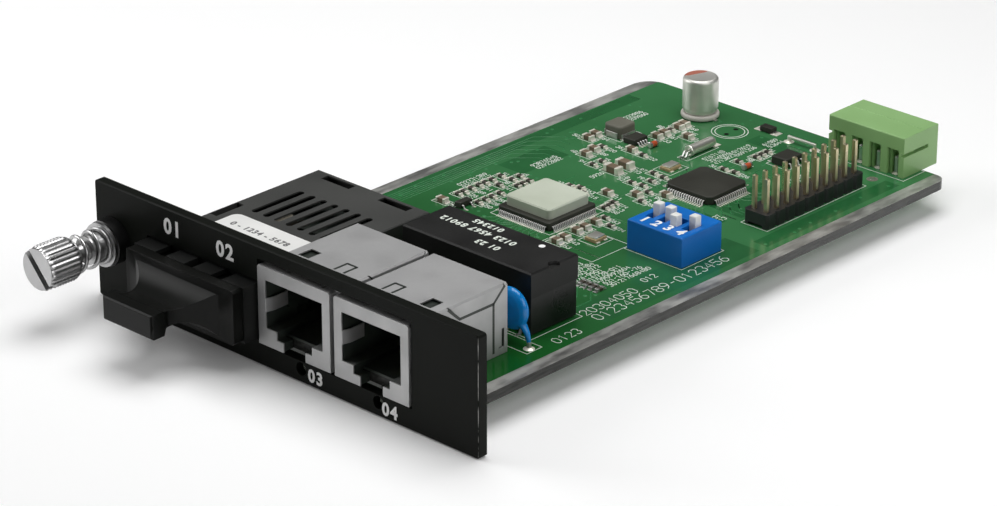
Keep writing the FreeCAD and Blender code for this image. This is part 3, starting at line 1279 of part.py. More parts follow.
def main():
    save("front_panel", front_panel())
    save("screw_sleeve", screw_sleeve())
    save("screw_ferrule", screw_ferrule())
    save("screw_spring", screw_spring())
    save("thumbscrew", thumbscrew())
    save("screw_retaining_ring", screw_ring())
    save("panel_brackets", panel_brackets())
    save("bracket_screws", bracket_screws())
    save("bracket_nut", bracket_nut())
    save("transceiver_housing", transceiver_housing())
    save("transceiver_cover", transceiver_cover())
    save("transceiver_label", transceiver_label())
    save("transceiver_board", transceiver_board())
    save("transmitter_barrel", light_barrel(PORT_XS[1], 2.3))
    save("receiver_barrel", light_barrel(PORT_XS[0], 2.5))
    save("ferrule_sleeves", ferrule_sleeves())
    save("transceiver_pins", transceiver_pins())
    save("dust_plug", dust_plug())
    for number, centre in enumerate(JACK_CENTRES, 1):
        tongue_sides = (1,) if number == 1 else (-1, 1)
        save("jack_shield_%d" % number, jack_shield(centre, number == 2, tongue_sides))
        save("jack_insert_%d" % number, jack_insert(centre))
        save("jack_contacts_%d" % number, jack_contacts(centre))
    save("status_lamps", status_lamps())
    save("circuit_board", circuit_board())
    save("transformer_cap", transformer_cap())
    save("transformer_tray", transformer_tray())
    save("transformer_leads", transformer_leads())
    save("disc_capacitor", disc_capacitor())
    save("disc_capacitor_leads", disc_capacitor_leads())
    save("main_chip", chip_body(MAIN_CHIP, 0.3, 0.12))
    save("main_chip_leads", chip_leads(MAIN_CHIP, MAIN_LEADS, 0.18, MAIN_LEAD_REACH))
    save("heat_pad", heat_pad())
    save("control_chip", chip_body(CONTROL_CHIP, 0.8, 0.12))
    save("control_chip_leads", chip_leads(CONTROL_CHIP, CONTROL_LEADS, 0.22, CONTROL_LEAD_REACH))
    save("can_capacitor", can_capacitor())
    save("can_capacitor_base", can_capacitor_base())
    save("can_capacitor_leads", can_capacitor_leads())
    save("dip_switch_body", dip_switch_body())
    save("dip_switch_pins", dip_switch_pins())
    for index in range(len(SLIDER_Y)):
        save("dip_slider_%d" % (index + 1), dip_slider(index))
    save("header_base", header_base())
    save("header_pins", header_pins())
    save("terminal_housing", terminal_housing())
    save("terminal_pins", terminal_pins())
    save("crystal_can", crystal_can())
    save("crystal_leads", crystal_leads())
    save("flat_crystals", flat_crystals())
    save("power_inductor", power_inductor())
    save("diodes", diodes())
    save("small_chips", small_chips())
    save("small_chip_leads", small_chip_leads())
    save("chip_capacitors", chip_capacitors())
    save("chip_resistors", chip_resistors())
    save("jumper_link", jumper_link())


main()
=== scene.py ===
"""Visual model of a rack media converter card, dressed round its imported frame."""

from __future__ import annotations

import json
import logging
import math
import random
from collections.abc import Iterable, Sequence
from dataclasses import dataclass, field
from enum import Enum

import bmesh
import bpy
from mathutils import Matrix, Vector

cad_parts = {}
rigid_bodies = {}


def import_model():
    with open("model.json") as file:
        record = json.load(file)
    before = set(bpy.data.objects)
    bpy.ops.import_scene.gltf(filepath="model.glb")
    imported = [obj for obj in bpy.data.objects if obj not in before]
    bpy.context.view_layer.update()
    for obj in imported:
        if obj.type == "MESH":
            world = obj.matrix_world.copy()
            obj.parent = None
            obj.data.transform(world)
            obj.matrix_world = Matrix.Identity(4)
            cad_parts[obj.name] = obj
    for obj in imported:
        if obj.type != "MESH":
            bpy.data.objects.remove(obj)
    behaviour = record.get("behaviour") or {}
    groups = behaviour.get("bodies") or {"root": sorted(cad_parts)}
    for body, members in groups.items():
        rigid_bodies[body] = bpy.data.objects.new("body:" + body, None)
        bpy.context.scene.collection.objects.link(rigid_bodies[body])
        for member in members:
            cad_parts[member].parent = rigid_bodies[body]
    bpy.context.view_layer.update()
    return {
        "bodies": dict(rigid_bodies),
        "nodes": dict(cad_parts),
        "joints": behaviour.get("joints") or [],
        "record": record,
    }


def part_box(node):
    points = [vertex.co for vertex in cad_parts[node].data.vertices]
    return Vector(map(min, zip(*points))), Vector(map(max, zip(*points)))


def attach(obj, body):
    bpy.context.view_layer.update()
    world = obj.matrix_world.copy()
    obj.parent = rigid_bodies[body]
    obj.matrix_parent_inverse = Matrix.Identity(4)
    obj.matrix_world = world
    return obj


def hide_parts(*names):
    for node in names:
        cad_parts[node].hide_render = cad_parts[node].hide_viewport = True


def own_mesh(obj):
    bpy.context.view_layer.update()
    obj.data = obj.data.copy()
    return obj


LOG = logging.getLogger("card")
MM = 0.001
CARD = "card"
CARD_ORIGIN_X = -42.0
CARD_ORIGIN_Y = -54.35
PANEL_RIGHT = 84.0
BOARD_TOP = 5.6
BOARD_UNDER = 4.0
LEG_LEVEL = 3.4
PIN_SPREAD = 0.95
CASE_TOP = 16.25
LABEL_TOP = 13.85
SWITCH_TOP = 10.85
WELD = 1e-6
FLAT_ANGLE = 0.02
SHARP_ANGLE = math.radians(40)
NOISE_SPAN = (0.3, 0.7)
NORMAL_WEIGHT = 90
BOX_SIDES = ((0, 1, 3, 2), (4, 6, 7, 5), (0, 4, 5, 1), (2, 3, 7, 6), (0, 2, 6, 4), (1, 5, 7, 3))

Point = tuple[float, float]
Triple = tuple[float, float, float]
Span = tuple[float, float, float, float]
Box = tuple[Vector, Vector]
Shape = bmesh.types.BMesh
Piece = bpy.types.Object
Socket = bpy.types.NodeSocket


def at(x: float, y: float, z: float) -> Vector:
    """Turns a place on the card, in millimetres, into metres in the frame."""
    return Vector(((x + CARD_ORIGIN_X) * MM, (y + CARD_ORIGIN_Y) * MM, z * MM))


def welded(node: Piece) -> Shape:
    """Copies a CAD node's mesh with its seams closed.

    Args:
        node: The CAD node, which is left alone.

    Returns:
        The copy.
    """
    mesh = bmesh.new()
    mesh.from_mesh(node.data)
    bmesh.ops.remove_doubles(mesh, verts=mesh.verts, dist=WELD)
    return mesh


def islands(node: Piece) -> list[Box]:
    """Finds the separate solids in a CAD node.

    Args:
        node: The CAD node.

    Returns:
        The lowest and highest corner of each solid, from front to rear.
    """
    mesh = welded(node)
    seen: set[bmesh.types.BMVert] = set()
    found: list[Box] = []
    for start in mesh.verts:
        if start in seen:
            continue
        seen.add(start)
        members = [start]
        for vert in members:
            for edge in vert.link_edges:
                other = edge.other_vert(vert)
                if other not in seen:
                    seen.add(other)
                    members.append(other)
        low, high = (Vector([pick(v.co[i] for v in members) for i in range(3)])
                     for pick in (min, max))
        found.append((low, high))
    mesh.free()
    return sorted(found, key=lambda b: (round(b[0].y, 5), round(b[0].x, 5)))


def node_box(name: str) -> Box:
    """Gives a CAD node's box."""
    low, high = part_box(name)
    return Vector(low), Vector(high)


class NodeBuilder:
    """Adds and wires nodes in one node tree."""

    def __init__(self, tree: bpy.types.NodeTree) -> None:
        """Takes the tree."""
        self.tree = tree

    def add(self, kind: str, inputs: dict | None = None, **settings: object) -> bpy.types.Node:
        """Adds a node.

        Args:
            kind: Node type name.
            inputs: Sockets or plain values, by the input's name or number.
            **settings: Properties, set before the inputs.

        Returns:
            The new node.
        """
        node = self.tree.nodes.new(kind)
        for key, value in settings.items():
            setattr(node, key, value)
        for key, value in (inputs or {}).items():
            self.wire(value, node.inputs[key])
        return node

    def wire(self, source: object, target: Socket) -> None:
        """Links or sets one socket.

        Args:
            source: An output socket, or a plain value.
            target: The input socket.
        """
        if isinstance(source, bpy.types.NodeSocket):
            self.tree.links.new(source, target)
        else:
            target.default_value = source


class Shader(NodeBuilder):
    """Builds a procedural material on object coordinates."""

    def __init__(self, name: str) -> None:
        """Starts a material with one Principled shader.

        Args:
            name: The material's name.
        """
        self.material = bpy.data.materials.new(name)
        self.material.use_nodes = True
        super().__init__(self.material.node_tree)
        self.tree.nodes.clear()
        self.body = self.add("ShaderNodeBsdfPrincipled")
        self.add("ShaderNodeOutputMaterial", {"Surface": self.body.outputs["BSDF"]})
        self.coords = self.add("ShaderNodeTexCoord")

    def noise(self, scale: float, detail: float = 4.0, stretch: Triple = (1, 1, 1)) -> Socket:
        """Gives noise between 0 and 1.

        Args:
            scale: Blotches per metre.
            detail: Octaves.
            stretch: Factor along each axis.

        Returns:
            The noise's socket.
        """
        place = self.add("ShaderNodeMapping",
                         {"Scale": stretch, "Vector": self.coords.outputs["Object"]})
        node = self.add("ShaderNodeTexNoise", {"Scale": scale, "Detail": detail,
                                               "Vector": place.outputs["Vector"]})
        return node.outputs["Fac"]

    def ramp(self, factor: Socket, low: float, high: float, start: float = 0.0,
             end: float = 1.0) -> Socket:
        """Maps a factor from one range onto another, clamped.

        Args:
            factor: What is mapped.
            low: Factor that gives start.
            high: Factor that gives end.
            start: First result.
            end: Last result.

        Returns:
            The mapped socket.
        """
        node = self.add("ShaderNodeMapRange", {"Value": factor, "From Min": low, "From Max": high,
                                               "To Min": start, "To Max": end})
        return node.outputs["Result"]

    def maths(self, operation: str, first: object, second: object = 0.0) -> Socket:
        """Combines two values."""
        return self.add("ShaderNodeMath", {0: first, 1: second},
                        operation=operation).outputs["Value"]

    def mix(self, factor: Socket, first: object, second: object, kind: str = "FLOAT") -> Socket:
        """Mixes two values.

        Args:
            factor: How much of the second.
            first: Value at 0.
            second: Value at 1.
            kind: Type of the values.

        Returns:
            The mixed value.
        """
        node = self.add("ShaderNodeMix", {"Factor": factor, "A": first, "B": second},
                        data_type=kind)
        return node.outputs["Result"]

    def blend(self, factor: Socket, first: object, second: object) -> Socket:
        """Mixes two colours."""
        first, second = ((*v, 1.0) if isinstance(v, tuple) else v for v in (first, second))
        return self.mix(factor, first, second, "RGBA")

    def axis(self, name: str, source: str = "Object") -> Socket:
        """Gives one part of the place or of the normal."""
        node = self.add("ShaderNodeSeparateXYZ", {"Vector": self.coords.outputs[source]})
        return node.outputs[name]

    def relief(self, height: Socket, depth: float, strength: float) -> None:
        """Adds a bump."""
        node = self.add("ShaderNodeBump", {"Distance": depth, "Strength": strength,
                                           "Height": height})
        self.wire(node.outputs["Normal"], self.body.inputs["Normal"])

    def put(self, **values: object) -> None:
        """Sets sockets of the Principled shader.

        Args:
            **values: Values by socket name, with underscores for blanks.
        """
        for key, value in values.items():
            if isinstance(value, tuple):
                value = (*value, 1.0)
            self.wire(value, self.body.inputs[key.replace("_", " ")])


@dataclass(frozen=True)
class Moulding:
    """A moulded or painted finish: blotched colour, varied gloss and a fine grain."""

    name: str
    colour: Triple
    shade: Triple
    rough: float
    rough_spread: float = 0.1
    grain: float = 4000.0
    grain_depth: float = 0.00002
    blotch: float = 120.0
    metallic: float = 0.0
    specular: float = 0.5

    def build(self) -> bpy.types.Material:
        """Makes the material.

        Returns:
            The finished material.
        """
        shader = Shader(self.name)
        large = shader.noise(self.blotch, 5.0)
        gloss = (self.rough - self.rough_spread, self.rough + self.rough_spread)
        shader.put(Base_Color=shader.blend(shader.ramp(large, *NOISE_SPAN), self.colour,
                                           self.shade),
                   Roughness=shader.ramp(large, 0.25, 0.75, *gloss), Metallic=self.metallic,
                   Specular_IOR_Level=self.specular)
        shader.relief(shader.noise(self.grain, 2.0), self.grain_depth, 0.5)
        return shader.material


@dataclass(frozen=True)
class TurnedMetal:
    """A metal finish with drawn or turned lines and faint smudges."""

    name: str
    colour: Triple
    shade: Triple
    rough: float
    lines: Triple = (1.0, 1.0, 1.0)
    line_scale: float = 3000.0
    line_depth: float = 0.00001
    metallic: float = 1.0

    def build(self) -> bpy.types.Material:
        """Makes the material.

        Returns:
            The finished material.
        """
        shader = Shader(self.name)
        smudge = shader.noise(180.0, 6.0)
        shader.put(Base_Color=shader.blend(shader.ramp(smudge, 0.35, 0.7), self.colour, self.shade),
                   Roughness=shader.ramp(smudge, *NOISE_SPAN, self.rough, self.rough + 0.14),
                   Metallic=self.metallic)
        shader.relief(shader.noise(self.line_scale, 3.0, self.lines), self.line_depth, 0.4)
        return shader.material


@dataclass(frozen=True)
class PanelCoat:
    """Black coat on the panel, rubbed bright along its right-hand edge."""

    rubbed: float = 0.15
    front: float = 0.13

    def build(self) -> bpy.types.Material:
        """Makes the material.

        Returns:
            The finished material.
        """
        shader = Shader("panel coat")
        large = shader.noise(60.0, 5.0)
        base = shader.blend(shader.ramp(large, *NOISE_SPAN), (0.0056, 0.0066, 0.0052),
                            (0.0080, 0.0092, 0.0074))
        right = shader.maths("GREATER_THAN", shader.axis("X"),
                             (PANEL_RIGHT + CARD_ORIGIN_X - self.rubbed) * MM)
        front = shader.maths("LESS_THAN", shader.axis("Y"), (CARD_ORIGIN_Y + self.front) * MM)
        worn = shader.maths("MULTIPLY", shader.maths("MULTIPLY", right, front),
                            shader.ramp(shader.noise(420.0, 6.0), 0.38, 0.56))
        shader.put(Base_Color=shader.blend(worn, base, (0.30, 0.30, 0.29)), Specular_IOR_Level=0.07,
                   Roughness=shader.ramp(large, 0.25, 0.75, 0.36, 0.52))
        shader.relief(shader.noise(5200.0, 2.0), 0.00002, 0.5)
        return shader.material


@dataclass(frozen=True)
class BoardMask:
    """Solder mask between bare tinned strips at its sides, with painted shade and painted
    reflection of the dark parts that darken the mask and the tin towards the panel, and sides
    painted dark as shade.
    """

    left: float = 11.0
    right: float = 77.8
    strip: float = 2.6
    shade_from: float = 18.0
    shade_to: float = 82.0

    def build(self) -> bpy.types.Material:
        """Makes the material.

        Returns:
            The finished material.
        """
        shader = Shader("solder mask")
        spread = shader.ramp(shader.noise(38.0), 0.32, 0.68)
        fine = shader.noise(900.0)
        # Painted shade and painted reflection: a ramp from the panel towards the rear that darkens
        # the mask and the tin near the panel and lowers their specular level there.
        depth = shader.ramp(shader.axis("Y"), (self.shade_from + CARD_ORIGIN_Y) * MM,
                            (self.shade_to + CARD_ORIGIN_Y) * MM)
        green = shader.blend(depth,
                             shader.blend(spread, (0.003, 0.060, 0.006), (0.006, 0.084, 0.012)),
                             shader.blend(spread, (0.030, 0.150, 0.048), (0.044, 0.190, 0.068)))
        middle = ((self.left + self.right) / 2 + CARD_ORIGIN_X) * MM
        half = (self.right - self.left) / 2 * MM
        away = shader.maths("ABSOLUTE", shader.maths("SUBTRACT", shader.axis("X"), middle))
        flat = shader.maths("GREATER_THAN", shader.maths("ABSOLUTE", shader.axis("Z", "Normal")),
                            0.5)
        in_strip = shader.maths("GREATER_THAN", away, half - self.strip * MM)
        tinned = shader.maths("MULTIPLY", in_strip, flat)
        smudge = shader.noise(620.0, 9.0, (1.0, 0.30, 1.0))
        stain = shader.ramp(smudge, 0.34, 0.62)
        # Tin strips: real smudge stains, darkened towards the panel by the same painted shade.
        tin = shader.blend(depth, shader.blend(stain, (0.13, 0.13, 0.125), (0.36, 0.36, 0.34)),
                           shader.blend(stain, (0.27, 0.27, 0.26), (0.56, 0.56, 0.53)))
        # Board sides: a real streaked grain, in colours painted near-black as painted shade.
        grain = shader.ramp(shader.noise(1500.0, 4.0, (1.0, 0.18, 1.6)), 0.32, 0.68)
        shaded_laminate = shader.blend(grain, (0.022, 0.023, 0.021), (0.052, 0.053, 0.049))
        shader.put(Base_Color=shader.blend(flat, shaded_laminate, shader.blend(tinned, green, tin)),
                   Roughness=shader.mix(tinned, shader.ramp(fine, *NOISE_SPAN, 0.12, 0.20),
                                        shader.ramp(smudge, *NOISE_SPAN, 0.30, 0.50)),
                   Metallic=shader.maths("MULTIPLY", tinned, 0.6),
                   Specular_IOR_Level=shader.maths("ADD", shader.maths("MULTIPLY", depth, 0.34),
                                                   0.18))
        shader.relief(shader.noise(2600.0, 2.0), 0.00001, 0.4)
        return shader.material


@dataclass(frozen=True)
class CanSkin:
    """Satin drawn metal whose top carries a polarity patch."""

    x: float = 29.5
    y: float = 113.2
    radius: float = 3.15

    def build(self) -> bpy.types.Material:
        """Makes the material.

        Returns:
            The finished material.
        """
        shader = Shader("drawn can")
        smudge = shader.noise(260.0, 5.0)
        metal = shader.blend(shader.ramp(smudge, *NOISE_SPAN), (0.84, 0.84, 0.79),
                             (0.72, 0.72, 0.67))
        up = shader.maths("GREATER_THAN", shader.axis("Z", "Normal"), 0.85)
        back = shader.maths("SUBTRACT", (self.x + CARD_ORIGIN_X) * MM, shader.axis("X"))
        side = shader.maths("SUBTRACT", shader.axis("Y"), (self.y + CARD_ORIGIN_Y) * MM)
        reach = shader.maths("ADD", back, shader.maths("MULTIPLY", side, 0.35))
        patch = shader.maths("MULTIPLY", up, shader.maths("GREATER_THAN", reach,
                                                          self.radius * 0.45 * MM))
        shader.put(Base_Color=shader.blend(patch, metal, (0.46, 0.15, 0.10)),
                   Roughness=shader.ramp(smudge, *NOISE_SPAN, 0.42, 0.52),
                   Metallic=shader.maths("SUBTRACT", 0.94, shader.maths("MULTIPLY", patch, 0.74)))
        shader.relief(shader.noise(2400.0, 2.0, (1.0, 1.0, 0.08)), 0.00001, 0.5)
        return shader.material


class LampEpoxy:
    """Clear epoxy of the status lamps."""

    def build(self) -> bpy.types.Material:
        """Makes the material.

        Returns:
            The finished material.
        """
        shader = Shader("lamp epoxy")
        haze = shader.noise(500.0, 3.0)
        shader.put(Base_Color=shader.blend(haze, (0.30, 0.33, 0.28), (0.40, 0.44, 0.38)),
                   Roughness=shader.ramp(haze, *NOISE_SPAN, 0.08, 0.16), Transmission_Weight=0.7,
                   IOR=1.5)
        return shader.material


class Ink(Enum):
    """Printed or plated layers on the card: name, colour, roughness and metal share."""

    SILK = ("board print", (0.80, 0.86, 0.78), 0.6, 0.0)
    PANEL_PRINT = ("panel print", (1.0, 1.0, 0.99), 0.5, 0.0)
    TRACK = ("covered track", (0.036, 0.215, 0.070), 0.18, 0.0)
    POUR = ("covered copper", (0.021, 0.132, 0.040), 0.16, 0.0)
    # Solder painted near-white and mostly diffuse: a painted highlight standing in for its shine.
    SOLDER_WITH_PAINTED_HIGHLIGHT = ("solder", (0.94, 0.91, 0.80), 0.30, 0.35)
    GREY_PRINT = ("label print", (0.16, 0.16, 0.16), 0.6, 0.0)
    CERAMIC = ("part ceramic", (0.44, 0.33, 0.17), 0.4, 0.0)

    def build(self) -> bpy.types.Material:
        """Makes the material.

        Returns:
            The finished material.
        """
        name, colour, rough, metallic = self.value
        shade = tuple(c * 0.82 for c in colour)
        return Moulding(name, colour, shade, rough, 0.05, 3000.0, 0.000005, 300.0, metallic).build()


FINISHES = {
    "panel_black": PanelCoat(), "board_green": BoardMask(), "can_skin": CanSkin(),
    "lamp": LampEpoxy(),
    "sleeve_black": Moulding("sleeve black", (0.004, 0.004, 0.004), (0.008, 0.008, 0.008), 0.34,
                             specular=0.4),
    "nickel": TurnedMetal("nickel plate", (0.52, 0.52, 0.52), (0.40, 0.40, 0.40), 0.24,
                          (1.0, 7.0, 1.0)),
    "spring_steel": TurnedMetal("spring wire", (0.54, 0.54, 0.54), (0.38, 0.38, 0.38), 0.22),
    "zinc_steel": TurnedMetal("zinc plate", (0.55, 0.55, 0.53), (0.42, 0.42, 0.40), 0.34),
    "optic_grey": Moulding("socket moulding", (0.006, 0.0064, 0.006), (0.01, 0.0106, 0.01), 0.46,
                           grain=5200.0, specular=0.22),
    "optic_cover": Moulding("socket cover", (0.029, 0.030, 0.028), (0.041, 0.042, 0.039), 0.56,
                            0.07, 6800.0, 0.00004, 90.0),
    "label_paper": Moulding("label film", (0.78, 0.78, 0.76), (0.84, 0.84, 0.82), 0.44),
    # Gold barrels painted near-black metal: painted shade inside the socket behind the vents.
    "gold_steel": TurnedMetal("barrel metal in painted shade", (0.10, 0.092, 0.075), (0.070, 0.064, 0.052), 0.36),
    "ceramic": Moulding("ferrule ceramic", (0.80, 0.79, 0.75), (0.86, 0.85, 0.82), 0.2),
    "tin": TurnedMetal("tin plate", (0.66, 0.66, 0.64), (0.50, 0.50, 0.48), 0.26),
    "gold": TurnedMetal("pin plating", (0.80, 0.71, 0.48), (0.64, 0.55, 0.35), 0.24),
    "plug_black": Moulding("plug moulding", (0.003, 0.0034, 0.0028), (0.006, 0.0064, 0.0056), 0.34,
                           0.06, 5600.0, 0.00004, 70.0, specular=0.15),
    "shield": TurnedMetal("shield sheet", (0.49, 0.49, 0.49), (0.43, 0.43, 0.43), 0.44,
                          (0.4, 1.0, 1.0), 4200.0, 0.00003, 0.8),
    "insert_black": Moulding("jack moulding", (0.022, 0.028, 0.023), (0.034, 0.041, 0.035), 0.34,
                             specular=0.45),
    "case_black": Moulding("case moulding", (0.006, 0.006, 0.0056), (0.0105, 0.0105, 0.01), 0.46,
                           0.08, 5200.0, 0.00004, specular=0.3),
    "disc_blue": Moulding("disc coating", (0.004, 0.20, 0.56), (0.008, 0.25, 0.66), 0.16, 0.05,
                          900.0, 0.00002),
    "chip_black": Moulding("chip moulding", (0.020, 0.020, 0.015), (0.034, 0.034, 0.026), 0.46,
                           specular=0.4),
    "pad_pale": Moulding("pale pad", (0.46, 0.50, 0.40), (0.54, 0.58, 0.48), 0.66, 0.05, 1800.0,
                         0.00004),
    "can_metal": TurnedMetal("drawn can", (0.60, 0.57, 0.56), (0.50, 0.47, 0.46), 0.32,
                             (1.0, 1.0, 0.1)),
    "base_pale": Moulding("capacitor base", (0.50, 0.48, 0.43), (0.60, 0.58, 0.53), 0.5),
    "switch_blue": Moulding("switch moulding", (0.003, 0.132, 0.49), (0.005, 0.158, 0.56), 0.30,
                            0.05, specular=0.35),
    "slider_white": Moulding("slider moulding", (0.80, 0.80, 0.77), (0.86, 0.86, 0.84), 0.34),
    "header_black": Moulding("header moulding", (0.010, 0.010, 0.011), (0.018, 0.018, 0.019), 0.36),
    "terminal_green": Moulding("terminal moulding", (0.25, 0.44, 0.17), (0.285, 0.49, 0.20), 0.38,
                               0.06),
    "crystal": TurnedMetal("crystal can", (0.88, 0.87, 0.80), (0.74, 0.73, 0.66), 0.32),
    "ferrite": Moulding("ferrite", (0.085, 0.083, 0.064), (0.160, 0.155, 0.120), 0.6),
    "diode_body": Moulding("diode glass", (0.44, 0.075, 0.028), (0.56, 0.110, 0.045), 0.14),
    "chip_part_brown": Moulding("capacitor ceramic", (0.120, 0.085, 0.052), (0.200, 0.148, 0.095),
                                0.42),
    "chip_part_dark": Moulding("resistor film", (0.040, 0.033, 0.025), (0.068, 0.056, 0.042), 0.34),
}
# Finishes swapped per node: the transceiver's inner board painted black and the transformer tray
# painted darker than its cap, both painted shade; the jumper link takes the crystal can's metal.
SHADE_AND_FINISH_SWAPS = {"transceiver_board": "insert_black", "transformer_tray": "sleeve_black",
           "jumper_link": "crystal"}


class Palette:
    """Keeps every finish that the pieces share, each made once."""

    def __init__(self) -> None:
        """Starts with no material made."""
        self.made: dict[str | Ink, bpy.types.Material] = {}

    def coat(self, finish: str | Ink) -> bpy.types.Material:
        """Gives the material of a slot or of a layer.

        Args:
            finish: A name in FINISHES, or a printed or plated layer.

        Returns:
            The material.
        """
        if finish not in self.made:
            maker = finish if isinstance(finish, Ink) else FINISHES[finish]
            self.made[finish] = maker.build()
        return self.made[finish]


class Tree(NodeBuilder):
    """Builds a Geometry Nodes group with named sizes."""

    def __init__(self, name: str, *sizes: str) -> None:
        """Starts a group with one geometry input and output.

        Args:
            name: The group's name.
            *sizes: Names of its number inputs.
        """
        super().__init__(bpy.data.node_groups.new(name, "GeometryNodeTree"))
        face = self.tree.interface
        for way in ("INPUT", "OUTPUT"):
            face.new_socket("Geometry", in_out=way, socket_type="NodeSocketGeometry")
        self.names = {size: face.new_socket(size, in_out="INPUT",
                                            socket_type="NodeSocketFloat").identifier
                      for size in sizes}
        self.given = self.add("NodeGroupInput").outputs

    def close(self, geometry: Socket, material: bpy.types.Material) -> None:
        """Ends the group in Realize Instances and Set Material.

        Args:
            geometry: The geometry to finish.
            material: What it is made of.
        """
        real = self.add("GeometryNodeRealizeInstances", {"Geometry": geometry})
        paint = self.add("GeometryNodeSetMaterial", {"Geometry": real.outputs["Geometry"],
                                                     "Material": material})
        self.add("NodeGroupOutput", {"Geometry": paint.outputs["Geometry"]})


def sweep_tree(name: str, material: bpy.types.Material, sides: int = 0) -> Tree:
    """Builds the tree that sweeps a section along each line.

    Args:
        name: Group name.
        material: What the swept shape is made of.
        sides: Corners of a round wire, or 0 for a flat ribbon.

    Returns:
        The tree, with input Radius, or with inputs Width and Thickness.
    """
    tree = Tree(name, *(["Radius"] if sides else ["Width", "Thickness"]))
    curve = tree.add("GeometryNodeMeshToCurve", {"Mesh": tree.given["Geometry"]})
    if sides:
        section = tree.add("GeometryNodeCurvePrimitiveCircle",
                           {"Resolution": sides, "Radius": tree.given["Radius"]},
                           mode="RADIUS")
    else:
        curve = tree.add("GeometryNodeSetCurveNormal", {"Curve": curve.outputs["Curve"]},
                         mode="Z_UP")
        section = tree.add("GeometryNodeCurvePrimitiveQuadrilateral",
                           {"Width": tree.given["Width"], "Height": tree.given["Thickness"]},
                           mode="RECTANGLE")
    sweep = tree.add("GeometryNodeCurveToMesh", {"Curve": curve.outputs["Curve"], "Fill Caps": True,
                                                 "Profile Curve": section.outputs["Curve"]})
    tree.close(sweep.outputs["Mesh"], material)
    return tree


def cone_tree(name: str, material: bpy.types.Material, sides: int) -> Tree:
    """Builds the tree that sets a small cone or disc on each point.

    Args:
        name: Group name.
        material: What the cones are made of.
        sides: Corners round each cone.

    Returns:
        The tree, with inputs Foot, Top and Height.
    """
    tree = Tree(name, "Foot", "Top", "Height")
    cone = tree.add("GeometryNodeMeshCone", {"Vertices": sides, "Radius Bottom": tree.given["Foot"],
                                             "Radius Top": tree.given["Top"],
                                             "Depth": tree.given["Height"]})
    spread = tree.add("GeometryNodeInstanceOnPoints", {"Points": tree.given["Geometry"],
                                                       "Instance": cone.outputs["Mesh"]})
    tree.close(spread.outputs["Instances"], material)
    return tree


def placed(name: str, data: bpy.types.ID) -> Piece:
    """Makes an object in the scene.

    Args:
        name: Its name.
        data: Its mesh, curve, lamp or camera.

    Returns:
        The object.
    """
    holder = bpy.data.objects.new(name, data)
    bpy.context.scene.collection.objects.link(holder)
    return holder


def applied(holder: Piece) -> bpy.types.Mesh:
    """Gives an object's mesh with its modifiers applied."""
    bpy.context.view_layer.update()
    graph = bpy.context.evaluated_depsgraph_get()
    return bpy.data.meshes.new_from_object(holder.evaluated_get(graph))


def edge_mesh(lines: Iterable[Sequence[Vector]]) -> bpy.types.Mesh:
    """Makes a mesh of bare edges, or of bare points from lines of one point.

    Args:
        lines: Each line's points; a line that ends where it starts is closed.

    Returns:
        The mesh.
    """
    points: list[Vector] = []
    edges: list[tuple[int, int]] = []
    for line in lines:
        first = len(points)
        closed = len(line) > 2 and (line[0] - line[-1]).length < 1e-7
        points += line[:-1] if closed else line
        last = len(points) - 1
        edges += [(i, i + 1) for i in range(first, last)]
        if closed:
            edges.append((last, first))
    mesh = bpy.data.meshes.new("lines")
    mesh.from_pydata([tuple(p) for p in points], edges, [])
    return mesh


def run_tree(name: str, lines: Iterable[Sequence[Vector]], tree: Tree, **sizes: float) -> Piece:
    """Runs a tree on lines or points and keeps the result as a plain mesh.

    Args:
        name: The piece's name.
        lines: What the tree works on.
        tree: The node group.
        **sizes: Its inputs, in millimetres.

    Returns:
        The finished object.
    """
    holder = placed(name, edge_mesh(lines))
    modifier = holder.modifiers.new("tree", "NODES")
    modifier.node_group = tree.tree
    for key, value in sizes.items():
        modifier[tree.names[key]] = value * MM
    made = applied(holder)
    made.name = name
    holder.modifiers.remove(modifier)
    holder.data = made
    return holder


def keep(piece: Piece, slot: str, node: str = "", body: str = CARD) -> None:
    """Rides a finished piece on a body and hides the node that it stands for.

    Args:
        piece: The piece.
        slot: The record's material slot; not used.
        node: The CAD node that it replaces, if any.
        body: The body that carries it.
    """
    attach(piece, body)
    if node:
        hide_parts(node)
    LOG.info("%s on %s: %d faces", piece.name, body, len(piece.data.polygons))


def mesh_piece(name: str, mesh: Shape, materials: Iterable[bpy.types.Material]) -> Piece:
    """Turns a bmesh into an object at the origin.

    Args:
        name: The piece's name.
        mesh: The shape; it is freed.
        materials: Its material slots in order.

    Returns:
        The new object.
    """
    data = bpy.data.meshes.new(name)
    bmesh.ops.recalc_face_normals(mesh, faces=mesh.faces)
    mesh.to_mesh(data)
    mesh.free()
    for material in materials:
        data.materials.append(material)
    return placed(name, data)


def smooth(piece: Piece, degrees: float) -> Piece:
    """Shades a piece smooth, with creases where it turns sharply.

    Args:
        piece: The piece.
        degrees: Angle above which an edge stays sharp.

    Returns:
        The same piece.
    """
    piece.data.shade_smooth()
    piece.data.set_sharp_from_angle(angle=math.radians(degrees))
    weigh = piece.modifiers.new("even normals", "WEIGHTED_NORMAL")
    weigh.keep_sharp = True
    weigh.weight = NORMAL_WEIGHT
    even = applied(piece)
    piece.modifiers.clear()
    rough, piece.data = piece.data, even
    bpy.data.meshes.remove(rough)
    return piece


def hexahedron(mesh: Shape, corners: Sequence[bmesh.types.BMVert],
               paint: int = 0) -> list[bmesh.types.BMFace]:
    """Closes eight corners to a block.

    Args:
        mesh: Where it goes.
        corners: The corners, X changing slowest and Z fastest.
        paint: Material index.

    Returns:
        Its faces.
    """
    faces = [mesh.faces.new([corners[i] for i in side]) for side in BOX_SIDES]
    for face in faces:
        face.material_index = paint
    return faces


